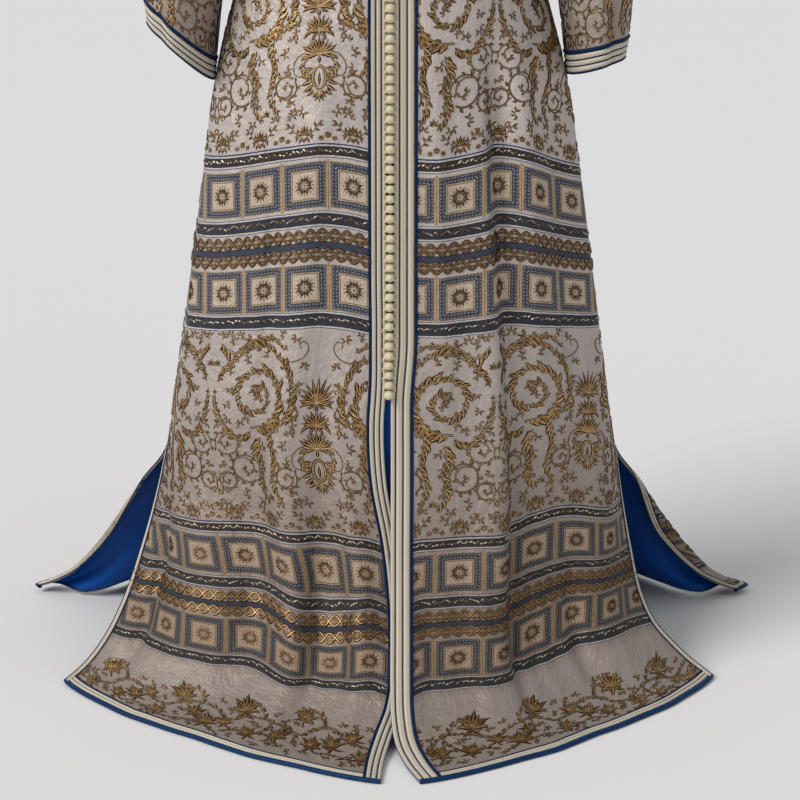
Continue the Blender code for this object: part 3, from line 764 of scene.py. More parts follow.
def bead_grid(place, path_length, beads, kind, bead_points=5):
    """Domed strips. place(along_index, distance, lift) gives points; the along index is a column."""
    points = []
    quads = []
    uv = []
    start = 0
    count = len(path_length)
    index = np.arange(count)[:, None]
    for bead in beads:
        if bead.kind != kind:
            continue
        share = np.linspace(0, 1, 2 if bead.height == 0 else bead_points)
        distance = bead.start + (bead.end - bead.start) * share
        lift = BEAD_FOOT + bead.height * np.sin(math.pi * share) ** .7
        grid = place(*np.broadcast_arrays(index, distance[None], lift[None]))
        points.append(grid.reshape(-1, 3))
        quads.append(grid_quads(count, len(share)) + start)
        uv.append(np.stack([share[None] + 0 * index, path_length[:, None] + 0 * share[None]],
                           axis=2).reshape(-1, 2))
        start += count * len(share)
    return np.concatenate(points), np.concatenate(quads), np.concatenate(uv)


def beaded(name, place, path_length, beads, outward):
    """The pieces of one beaded edge: its cream braids and its navy cords."""
    made = []
    for kind in ("braid", "cord"):
        if not any(b.kind == kind for b in beads):
            continue
        points, quads, uv = bead_grid(place, path_length, beads, kind)
        corners = points[quads]
        facing = np.cross(corners[:, 1] - corners[:, 0], corners[:, 2] - corners[:, 0])
        if np.sum(facing * outward(points[quads[:, 0]])) < 0:
            quads = quads[:, ::-1]
        made.append(new_piece(name + "_" + kind, points, quads, MATERIALS[kind], uv))
    return made


# ---- gold figures -----------------------------------------------------------------------------------
# The woven design repeats every REPEAT_ACROSS, mirrored about each palmette, and REPEAT_DOWN.
REPEAT_ACROSS = 0.320
REPEAT_DOWN = 0.510
SET_TOP = 0.887           # p of the top of the middle set of bands
TILE = 0.064
SCROLL_DEPTH = 0.274      # from the foot of one set to the top of the next
SET_DEPTH = REPEAT_DOWN - SCROLL_DEPTH
TILE_ROWS = (0.0525, 0.1840)   # middles of the two rows of tiles, down from the top of their set
CHAIN_ROWS = (0.1175, 0.1420)
RIDGE = 0.0011            # how far a gold thread stands up
STEM_GROWN = 1.55         # a vine is drawn this much wider, with leaves this much longer and
LEAF_GROWN = 1.75         # further apart, than its call says
GAP_GROWN = 1.22
STEM_STEP = 0.0045
SMALL_LEAF = 0.0098       # a leaf up to this long has two stretches, and a longer one three
ROSETTE_TONE = 1.4
UP = -math.pi / 2         # y runs down the cloth
BLOOM_SIZE = 1.45
HEM_RISE = 0.007


class Drawing:
    """Ribbons of gold thread drawn flat: x to the right and y down the cloth, in metres."""

    def __init__(self):
        self.points = []
        self.lifts = []
        self.uvs = []
        self.quads = []
        self.count = 0

    def ribbon(self, line, widths, lift=RIDGE, tone=None):
        """A thread along a line, highest in its middle. Its tone darkens it, or below 0 lightens it."""
        line = np.asarray(line, float)
        widths = np.asarray(widths, float) * np.ones(len(line))
        way = np.gradient(line, axis=0)
        way /= np.linalg.norm(way, axis=1)[:, None] + 1e-9
        side = np.stack([-way[:, 1], way[:, 0]], axis=1) * widths[:, None] / 2
        tone = RANDOM.uniform(0, 1) if tone is None else tone
        n = len(line)
        self.points.append(np.stack([line - side, line, line + side], axis=1).reshape(-1, 2))
        top = lift * (0.35 + 0.65 * np.minimum(1, widths / (widths.max() + 1e-9)))
        self.lifts.append(np.stack([0 * top, top, 0 * top], axis=1).ravel())
        self.uvs.append(np.stack([np.tile([0, 1, 0], n), np.full(3 * n, tone)], axis=1))
        self.quads.append(grid_quads(n, 3) + self.count)
        self.count += 3 * n

    def leaf(self, x, y, angle, length, width, bend=0.5, lift=RIDGE, tone=None):
        """A pointed leaf from its foot, at an angle from +x towards +y, curling by bend radians."""
        at = np.array([0, .38, .72, 1.0] if length > SMALL_LEAF else [0, .5, 1.0])
        wide = np.array([.25, 1.0, .72, .05] if length > SMALL_LEAF else [.25, 1.0, .05])
        turn = angle + bend * at
        step = np.diff(at) * length
        middle = (turn[1:] + turn[:-1]) / 2
        line = np.array([[x, y]] * len(at))
        line[1:, 0] += np.cumsum(step * np.cos(middle))
        line[1:, 1] += np.cumsum(step * np.sin(middle))
        self.ribbon(line, width * wide, lift, tone)

    def vine(self, line, width=.0017, leaf=.0085, gap=.0062, first=.004, lean=1.0, taper=.5, outer=1):
        """A stem with sprays of leaves on its outer side and small curls on its inner side."""
        line = smooth_line(line)
        length = np.concatenate([[0], np.cumsum(np.linalg.norm(np.diff(line, axis=0), axis=1))])
        total = length[-1]
        count = max(4, int(total / STEM_STEP))
        at = np.linspace(0, total, count)
        stem = np.stack([np.interp(at, length, line[:, k]) for k in range(2)], axis=1)
        self.ribbon(stem, width * STEM_GROWN * (1 - taper * at / total))
        way = np.gradient(line, axis=0)
        bend = way[0, 0] * way[len(way) // 3, 1] - way[0, 1] * way[len(way) // 3, 0]
        out = -math.copysign(1, bend) * outer
        place = first
        number = 0
        while place < total - .001:
            x, y = (np.interp(place, length, line[:, k]) for k in range(2))
            across, down = (np.interp(place, length, way[:, k]) for k in range(2))
            heading = math.atan2(down, across)
            size = leaf * LEAF_GROWN * RANDOM.uniform(.75, 1.2) * (1 - .3 * place / total)
            self.leaf(x, y, heading + out * lean * RANDOM.uniform(.8, 1.2), size, size * .42,
                      -out * RANDOM.uniform(.5, 1.4))
            self.leaf(x, y, heading + out * lean * .40, size * .72, size * .32, out * .5)
            self.leaf(x, y, heading + out * lean * 1.75, size * .52, size * .28, -out * .7)
            if number % 2:
                inward = heading - out * lean * RANDOM.uniform(.8, 1.3)
                self.leaf(x, y, inward, size * .62, size * .27, out * 1.3)
            place += gap * GAP_GROWN * RANDOM.uniform(.75, 1.3)
            number += 1
        tip = math.atan2(*(stem[-1] - stem[-2])[::-1])
        self.fan(stem[-1, 0], stem[-1, 1], tip, .8, 3, leaf, leaf * .34)

    def plain(self, line, width=.0014, taper=.4):
        """A bare stem."""
        line = smooth_line(line)
        count = max(4, int(len(line) / 3))
        keep = np.linspace(0, len(line) - 1, count).astype(int)
        self.ribbon(line[keep], width * (1 - taper * np.linspace(0, 1, count)))

    def fan(self, x, y, angle, spread, count, length, width, side_share=.65, bend=.35):
        """Leaves from one foot, longest in the middle."""
        for turn in np.linspace(-1, 1, count):
            size = length * (1 - (1 - side_share) * abs(turn) ** 1.5)
            self.leaf(x, y, angle + turn * spread, size, width, bend * turn, RIDGE * 1.2)

    def ring(self, x, y, radius, start=0.0, turn=1, thorns=9, curl=True):
        """A scroll that closes into a ring, with thorns outside and a curl of leaves inside."""
        angles = start + turn * np.linspace(0, 2 * math.pi * .94, 17)
        line = np.stack([x + radius * np.cos(angles), y + radius * np.sin(angles)], axis=1)
        self.ribbon(line, .0028 * np.linspace(1, .7, 17))
        for k in range(thorns):
            a = start + turn * 2 * math.pi * (k + .5) / thorns
            size = radius * RANDOM.uniform(.34, .56)
            self.leaf(x + radius * math.cos(a), y + radius * math.sin(a), a + turn * .7, size,
                      size * .5, turn * .6)
        if curl:
            angles = start + math.pi + turn * np.linspace(0, 4.4, 9)
            reach = radius * np.linspace(.92, .18, 9)
            inner = np.stack([x + reach * np.cos(angles), y + reach * np.sin(angles)], axis=1)
            self.ribbon(inner, .0021)
            for k in (2, 4, 6, 8):
                a = math.atan2(*(inner[k] - inner[k - 1])[::-1])
                self.leaf(inner[k, 0], inner[k, 1], a + turn * 1.0, radius * .44, radius * .22, -turn)
                self.leaf(inner[k, 0], inner[k, 1], a - turn * .8, radius * .38, radius * .19, turn)

    def fill(self, left, top, right, bottom, clear):
        """Sprigs in the gaps between the figures already drawn."""
        step = clear * .8
        for y in np.arange(top, bottom, step):
            for x in np.arange(left, right, step):
                at = np.array([x, y]) + RANDOM.uniform(-.3, .3, 2) * step
                drawn = np.concatenate(self.points)
                if ((drawn - at) ** 2).sum(axis=1).min() < (clear * .62) ** 2:
                    continue
                angle = RANDOM.uniform(0, 2 * math.pi)
                turn = RANDOM.choice([-1, 1])
                reach = clear * RANDOM.uniform(.55, .9)
                bend = angle + turn * np.array([0, .7, 1.5, 2.4])
                way = np.stack([np.cos(bend), np.sin(bend)], axis=1)
                path = at + np.cumsum(way * reach / 3, axis=0)
                self.ribbon(path, np.array([.0019, .0017, .0012, .0005]))
                for k in range(4):
                    for side in (-1, 1):
                        size = clear * RANDOM.uniform(.42, .70)
                        angle = bend[k] + side * RANDOM.uniform(.7, 1.2)
                        self.leaf(*path[k], angle, size, size * .45, -side * .6)

    def arrays(self):
        return tuple(np.concatenate(part) for part in (self.points, self.lifts, self.uvs, self.quads))


def smooth_line(knots, per=8):
    knots = np.asarray(knots, float)
    at = np.linspace(0, len(knots) - 1, per * (len(knots) - 1) + 1)
    return smooth(np.arange(len(knots)), knots, at)


def spiral(x, y, outer, inner, start, turns, turn=1, count=14):
    angles = start + turn * np.linspace(0, turns * 2 * math.pi, count)
    reach = outer + (inner - outer) * np.linspace(0, 1, count) ** .9
    return np.stack([x + reach * np.cos(angles), y + reach * np.sin(angles)], axis=1)


def join_mirrored(half, middle):
    """The half drawing and its mirror image about x = 0, with the pieces on the axis."""
    points, lifts, uvs, quads = half.arrays()
    n = len(points)
    parts = [(points, lifts, uvs, quads), (points * [-1, 1], lifts, uvs, quads[:, ::-1] + n)]
    extra = middle.arrays()
    parts.append(extra[:3] + (extra[3] + 2 * n,))
    return tuple(np.concatenate([part[k] for part in parts]) for k in range(4))


def scroll_field():
    """The tall field between two sets: spirals, rings and vines on each side of a palmette column."""
    half = Drawing()
    # great spiral and the garland over it
    half.vine(spiral(.092, .092, .046, .009, 1.35, 1.60, 1, 18), .0021, .0100, .0066, .010)
    half.vine([(.046, .128), (.036, .100), (.040, .066), (.055, .042), (.080, .026), (.108, .030),
               (.130, .046), (.146, .066)], .0019, .0098, .0068)
    half.vine([(.150, .020), (.132, .034), (.112, .020), (.092, .012), (.066, .012), (.050, .024)],
              .0018, .0085, .0066)
    half.vine([(.103, .143), (.122, .150), (.138, .136), (.150, .112), (.154, .090)], .0016, .0080, .0064)
    # side scrolls by the palmettes
    half.plain([(.055, .036), (.040, .044), (.024, .040), (.016, .028), (.021, .018), (.028, .021),
                (.026, .028)], .0017)
    half.vine([(.060, .140), (.050, .122), (.034, .124), (.024, .116), (.026, .107), (.033, .108)],
              .0015, .0060, .0070)
    half.vine([(.060, .118), (.064, .150), (.058, .176), (.066, .204), (.060, .226)], .0019, .0100, .0068)
    half.vine([(.090, .150), (.094, .170), (.086, .190), (.094, .215), (.084, .232)], .0018, .0088, .0064)
    # rings
    half.ring(.140, .160, .0165, 0.6, 1, 10)
    half.ring(.116, .196, .0195, 2.2, -1, 11)
    half.ring(.045, .200, .0145, 4.0, 1, 9)
    half.ring(.146, .214, .0120, 1.0, 1, 8)
    half.plain([(.103, .146), (.118, .156), (.123, .166)], .0018)
    half.plain([(.098, .190), (.090, .182), (.080, .184)], .0018)
    # leaves about the pendant
    half.plain([(.006, .160), (.022, .158), (.033, .168), (.034, .182), (.026, .188), (.021, .182),
                (.025, .177)], .0019)
    half.vine([(.004, .160), (.016, .164), (.020, .176), (.014, .188)], .0016, .0078, .0058)
    for k, (y, reach) in enumerate([(.180, .012), (.187, .014), (.194, .015), (.201, .013), (.207, .010)]):
        half.leaf(.0085, y - .002, .35 + .18 * k, reach * 1.25, .0060, -.7, RIDGE * 1.2)
        half.leaf(.0105, y + .002, -.25 + .1 * k, reach * .72, .0036, .6)
    # palmettes' side leaves
    half.leaf(.002, .099, .25, .023, .0062, -.9, RIDGE * 1.2)
    half.leaf(.004, .100, -.15, .020, .0052, .9)
    half.leaf(.002, .102, .75, .012, .0042, -.8)
    half.leaf(.002, .126, .20, .024, .0062, .9, RIDGE * 1.2)
    half.leaf(.004, .128, -.30, .018, .0050, -.9)
    half.leaf(.002, .131, .75, .015, .0046, .6)
    half.leaf(.002, .156, .10, .024, .0062, -1.0, RIDGE * 1.2)
    half.leaf(.004, .160, .55, .020, .0054, -.9)
    # free sprigs
    half.fan(.092, .090, UP, 2.4, 7, .0080, .0030)
    half.fan(.155, .050, UP, 1.2, 5, .0100, .0034)
    half.fan(.075, .232, UP, 1.3, 5, .0095, .0032)
    half.fill(.020, .010, .160, .246, .0112)
    middle = Drawing()
    middle.fan(0, .100, UP, 1.5, 13, .036, .0052, .55)
    middle.fan(0, .094, UP, 1.1, 7, .018, .0040, .6)
    middle.leaf(0, .112, UP, .011, .0056, 0)
    middle.fan(0, .131, UP, 1.5, 11, .023, .0050, .8)
    middle.fan(0, .127, -UP, 1.0, 5, .013, .0046, .7)
    middle.fan(0, .161, UP, 1.55, 13, .025, .0052, .8)
    middle.fan(0, .157, UP, .8, 5, .012, .0040, .7)
    angles = np.linspace(0, 2 * math.pi, 17)
    middle.ribbon(np.stack([.0084 * np.sin(angles), .190 - .0145 * np.cos(angles)], axis=1), .0044)
    middle.fan(0, .208, -UP, 1.1, 7, .015, .0046, .7)
    middle.leaf(0, .172, UP, .010, .0050, 0)
    middle.leaf(0, .201, UP, .018, .0040, 0)
    return join_mirrored(half, middle)


# One of the leaves that a rosette has eight of: its turn from the last, how far out its foot is, how
# far it leans from straight out, its length and width, and how much it curls.
Petal = namedtuple("Petal", "turn foot lean length width bend")


def set_unit():
    """One tile's width of a set of bands, from the sprigs above it to its foot. y is from its top."""
    unit = Drawing()
    # sprigs and small stars above the set
    for side in (-1, 1):
        unit.plain([(0, -.006), (side * .006, -.011), (side * .014, -.017), (side * .020, -.026)], .0014)
        for x, y, a in ((.006, -.011, -.2), (.010, -.014, -1.9), (.014, -.018, -.1),
                        (.017, -.021, -2.1), (.020, -.025, -.9), (.019, -.024, -.1),
                        (.004, -.009, .9), (.008, -.012, .8)):
            angle = a if side > 0 else math.pi - a
            unit.leaf(side * x, y, angle, .0085, .0036, .5 * side)
    unit.fan(0, -.012, UP, 1.2, 7, .0135, .0042)
    unit.fan(0, -.008, -UP, 1.3, 5, .0065, .0028)
    unit.fan(TILE / 2, -.010, UP, 2.5, 7, .0062, .0028)
    for side in (-1, 1):
        unit.fan(side * .0235, -.006, UP, 2.3, 6, .0050, .0024)
    # rosettes
    petals = [Petal(.0, .0030, .0, .0086, .0024, .0), Petal(.16, .0070, .34, .0052, .0021, .6),
              Petal(-.16, .0070, -.34, .0052, .0021, -.6), Petal(math.pi / 8, .0042, .0, .0100, .0021, .0)]
    for y in TILE_ROWS:
        for k in range(8):
            for petal in petals:
                a = k * math.pi / 4 + petal.turn
                unit.leaf(petal.foot * math.cos(a), y + petal.foot * math.sin(a), a + petal.lean,
                          petal.length, petal.width, petal.bend, RIDGE, ROSETTE_TONE)
            a = (k + .5) * math.pi / 4 - .39
            unit.leaf(.0115 * math.cos(a), y + .0115 * math.sin(a), a, .0022, .0016, 0)
        unit.leaf(-.0016, y, 0, .0032, .0026, 0)
    # dashes along the dark narrow bands
    for y, reach in ((.0093, .0056), (.0955, .0066), (.2250, .0056)):
        for k in range(13):
            x = (k + .5) * TILE / 13 - TILE / 2 + RANDOM.uniform(-.0012, .0012)
            slant = RANDOM.choice([-.75, .75, .75, .35])
            off = RANDOM.uniform(-.0018, .0018)
            size = reach * RANDOM.uniform(.5, 1.15)
            unit.ribbon([(x - size * .5, y + off + slant * size * .45), (x, y + off),
                         (x + size * .5, y + off - slant * size * .45)],
                        np.array([.0006, .0023, .0006]), RIDGE * 1.3, RANDOM.uniform(-1, .3))
    # chains of crossing threads
    turn = np.linspace(0, 2 * math.pi, 25)
    x = np.linspace(-TILE / 2, TILE / 2, 49)
    for y, phase in zip(CHAIN_ROWS, (0.0, math.pi / 2)):
        for sign in (-1, 1):
            wave = sign * .0074 * np.sin(x / TILE * 4 * math.pi + phase)
            unit.ribbon(np.stack([x, y + wave], axis=1), .0040, RIDGE * (1.5 + .3 * sign), .8)
            unit.ribbon(np.stack([x, y + wave * .45], axis=1), .0016, RIDGE * 1.1, .8)
        for k in range(4):
            centre = ((k + .5) / 4 - phase / (4 * math.pi)) * TILE - TILE / 2
            oval = turn[::3]
            unit.ribbon(np.stack([centre + .0038 * np.cos(oval), y + .0024 * np.sin(oval)], axis=1),
                        .0011, RIDGE * .8, .5)
            unit.leaf(centre - .0014, y, 0, .0028, .0014, 0)
    return unit.arrays()


def hem_field():
    """Scrolling flowers along the hem. y is from the foot of the lowest set."""
    flowers = Drawing()
    stems = [
        [(-.160, .110), (-.140, .094), (-.116, .090), (-.092, .102), (-.070, .118), (-.046, .112)],
        [(-.046, .112), (-.028, .094), (-.008, .086), (.012, .096), (.030, .116), (.052, .122)],
        [(.052, .122), (.072, .104), (.094, .092), (.120, .098), (.142, .114), (.160, .110)],
        [(-.128, .092), (-.124, .070), (-.108, .058), (-.090, .066), (-.092, .082), (-.104, .082)],
        [(.004, .090), (.012, .070), (.030, .058), (.048, .066), (.046, .082), (.034, .084)],
        [(-.070, .118), (-.058, .136), (-.038, .144), (-.018, .138), (-.002, .146)],
        [(.082, .098), (.092, .122), (.108, .136), (.128, .136), (.144, .146)],
        [(-.150, .124), (-.132, .142), (-.108, .142), (-.086, .150), (-.064, .154)],
        [(.094, .092), (.100, .074), (.116, .066), (.128, .074), (.122, .084)],
    ]
    for stem in stems:
        flowers.vine(stem, .0013, .0070, .0080, .006, .9)
    blooms = ((-.096, .080, 1.15, .3), (.038, .078, 1.05, -.4), (-.020, .118, 1.0, .5), (.126, .082, 1.2, .2),
              (.070, .134, 1.0, -.3), (-.140, .138, 1.1, .1), (-.060, .142, .9, -.6), (.108, .138, .9, .6),
              (.012, .134, .9, 0), (-.118, .116, .9, -.2), (.150, .124, .8, .4), (-.046, .100, .8, .8))
    for x, y, size, lean in blooms:
        size *= BLOOM_SIZE
        flowers.fan(x, y, UP + lean, 1.0, 5, .0190 * size, .0052 * size, .75, 1.5)
        flowers.fan(x, y, UP + lean, 2.1, 6, .0150 * size, .0040 * size, .9, -1.4)
        flowers.fan(x, y, UP + lean, .5, 3, .0110 * size, .0036 * size)
        flowers.fan(x, y + .003, -UP + lean, 1.3, 4, .0140 * size, .0040 * size, .8, 1.3)
        flowers.plain(spiral(x + .006 * lean, y, .0085 * size, .0030, lean, .9, 1, 9), .0019)
    flowers.fill(-.158, .078, .158, .158, .0110)
    points, lifts, uvs, quads = flowers.arrays()
    return points - [0, HEM_RISE], lifts, uvs, quads


def repeated(cloth, drawing, width, y_zero, phase, margin):
    """The drawing repeated across a cloth: its centre lines at s = phase + k * width."""
    points, lifts, uvs, quads = drawing
    low = math.floor((cloth.first.min() - phase) / width - .5)
    high = math.ceil((cloth.last.max() - phase) / width + .5)
    found = []
    for k in range(low, high + 1):
        s = points[:, 0] + phase + k * width
        p = y_zero - points[:, 1]
        ok = cloth.inside(s, p, margin)
        kept = quads[ok[quads].all(axis=1)]
        if not len(kept):
            continue
        used, number = np.unique(kept.ravel(), return_inverse=True)
        tone = uvs[used] + [0, RANDOM.uniform(-.15, .15)]
        found.append((cloth.at(s[used], p[used], lifts[used] + GOLD_FOOT), tone,
                      number.reshape(-1, 4)))
    return found


def gold_on(name, cloth, phase_palmette, phase_tile, margin, fields):
    """All the gold figures of one cloth as one piece."""
    found = []
    for kind, y_zero in fields:
        drawing = {"scroll": SCROLLS, "set": SETS, "hem": HEMS}[kind]
        width = TILE if kind == "set" else REPEAT_ACROSS
        phase = phase_tile if kind == "set" else phase_palmette
        found += repeated(cloth, drawing, width, y_zero, phase, margin)
    points = np.concatenate([f[0] for f in found])
    uvs = np.concatenate([f[1] for f in found])
    starts = np.cumsum([0] + [len(f[0]) for f in found[:-1]])
    quads = np.concatenate([f[2] + start for f, start in zip(found, starts)])
    return new_piece(name, points, quads, MATERIALS["gold"], uvs)


# ---- materials --------------------------------------------------------------------------------------
def colour(code):
    """A display colour such as C9C3C0 in linear values."""
    values = [int(code[k:k + 2], 16) / 255 for k in (0, 2, 4)]
    return tuple(((v + .055) / 1.055) ** 2.4 if v > .04045 else v / 12.92 for v in values) + (1.0,)


class Graph:
    """A material's nodes, with short ways to add and link them."""

    def __init__(self, name, **settings):
        self.material = bpy.data.materials.new(name)
        self.material.use_nodes = True
        self.tree = self.material.node_tree
        self.shader = self.tree.nodes["Principled BSDF"]
        for key, value in settings.items():
            self.shader.inputs[key.replace("_", " ")].default_value = value

    def node(self, kind, **settings):
        made = self.tree.nodes.new(kind)
        for key, value in settings.items():
            setattr(made, key, value)
        return made

    def put(self, socket, value):
        if isinstance(value, bpy.types.NodeSocket):
            self.tree.links.new(value, socket)
        else:
            socket.default_value = value

    def math(self, operation, *values):
        made = self.node("ShaderNodeMath", operation=operation)
        for socket, value in zip(made.inputs, values):
            self.put(socket, value)
        return made.outputs[0]

    def mix(self, share, first, second, blend="MIX"):
        made = self.node("ShaderNodeMix", data_type="RGBA", blend_type=blend)
        self.put(made.inputs[0], share)
        self.put(made.inputs[6], first)
        self.put(made.inputs[7], second)
        return made.outputs[2]

    def ramp(self, value, stops, interpolation="CONSTANT"):
        """(colour, alpha) of a colour ramp. Each stop is (place, colour, alpha)."""
        made = self.node("ShaderNodeValToRGB")
        made.color_ramp.interpolation = interpolation
        elements = made.color_ramp.elements
        while len(elements) > 1:
            elements.remove(elements[-1])
        elements[0].position = stops[0][0]
        elements[0].color = stops[0][1][:3] + (stops[0][2],)
        for place, tint, alpha in stops[1:]:
            elements.new(place).color = tint[:3] + (alpha,)
        self.put(made.inputs[0], value)
        return made.outputs[0], made.outputs[1]

    def shading(self, value, *stops):
        """A smooth ramp of colours. Each stop is (place, colour code)."""
        return self.ramp(value, [(place, colour(code), 1) for place, code in stops], "LINEAR")[0]

    def noise(self, vector, scale, detail=2.0, rough=.5):
        made = self.node("ShaderNodeTexNoise")
        self.put(made.inputs["Vector"], vector)
        made.inputs["Scale"].default_value = scale
        made.inputs["Detail"].default_value = detail
        made.inputs["Roughness"].default_value = rough
        return made.outputs["Fac"]

    def uneven(self, x, y, scale, detail, height):
        """Noise about 0, over this height."""
        noise = self.noise(self.stretched(x, y, scale, scale), 1.0, detail)
        return self.math("MULTIPLY", self.math("SUBTRACT", noise, .5), height)

    def wave(self, value, length):
        return self.math("SINE", self.math("MULTIPLY", value, 2 * math.pi / length))

    def stretched(self, x, y, across, down):
        made = self.node("ShaderNodeCombineXYZ")
        self.put(made.inputs[0], self.math("MULTIPLY", x, across))
        self.put(made.inputs[1], self.math("MULTIPLY", y, down))
        return made.outputs[0]

    def cloth_xy(self):
        uv = self.node("ShaderNodeUVMap", uv_map="cloth")
        parts = self.node("ShaderNodeSeparateXYZ")
        self.put(parts.inputs[0], uv.outputs[0])
        return parts.outputs[0], parts.outputs[1]

    def bump(self, height, distance, strength=1.0, below=None):
        made = self.node("ShaderNodeBump")
        made.inputs["Distance"].default_value = distance
        made.inputs["Strength"].default_value = strength
        self.put(made.inputs["Height"], height)
        if below is not None:
            self.put(made.inputs["Normal"], below)
        return made.outputs[0]

    def done(self, base=None, normal=None, roughness=None):
        if base is not None:
            self.put(self.shader.inputs["Base Color"], base)
        if normal is not None:
            self.put(self.shader.inputs["Normal"], normal)
        if roughness is not None:
            self.put(self.shader.inputs["Roughness"], roughness)
        return self.material


# ---- the brocade's woven bands, down from the top of a set: place, colour, and whether it is woven
PALE = colour("CFC9C4")
BLUE_LINE = colour("163A6B")
DARK_BAND = colour("2B2524")
SLATE_BAND = colour("262C38")
SLATE = colour("363D4F")
TILE_CENTRE = colour("CBB8A4")
BEAD_BROWN = colour("4A3626")
BEAD_PALE = colour("B9A183")
SEPARATOR = colour("CDB08C")
SATIN = colour("CCBEB7")
# the satin's colour low on the cloth, darker there as painted shade
SATIN_SHADED_LOW = colour("97867C")
TILE_HALF = 0.0296
TILE_REACH = 0.04         # the tiles' ramps run to this far from a tile's middle
BAND_REACH = 0.25
BANDS = [(.0, BLUE_LINE, 1), (.0014, PALE, 1), (.0034, DARK_BAND, 1), (.0150, PALE, 1),
         (.0168, BLUE_LINE, 1), (.0181, PALE, 0),
         (.0850, BLUE_LINE, 1), (.0864, PALE, 1), (.0880, SLATE_BAND, 1), (.1034, PALE, 1),
         (.1048, BLUE_LINE, 1), (.1064, PALE, 0),
         (.1245, SLATE, 1), (.1350, PALE, 0),
         (.2140, BLUE_LINE, 1), (.2154, PALE, 1), (.2168, SLATE_BAND, 1), (.2342, PALE, 1),
         (.2354, BLUE_LINE, 1), (.2371, PALE, 0)]
TILE_FRAMES = [(.0, TILE_CENTRE, 1), (.0168, BEAD_BROWN, 1), (.0180, BEAD_PALE, 1),
               (.0190, BEAD_BROWN, 1), (.0200, SLATE, 1), (.0280, BEAD_BROWN, 1),
               (.0290, BEAD_PALE, 1), (TILE_HALF, PALE, 0)]
SPLITS = [(0, PALE, 0), (.0298, BEAD_BROWN, 1), (.0303, SEPARATOR, 1), (.0315, BEAD_BROWN, 1)]
SPLIT_HALF_HEIGHT = 0.0318


def shares(stops, reach):
    """A ramp's stops, with their places as shares of its reach."""
    return [(place / reach, tint, alpha) for place, tint, alpha in stops]


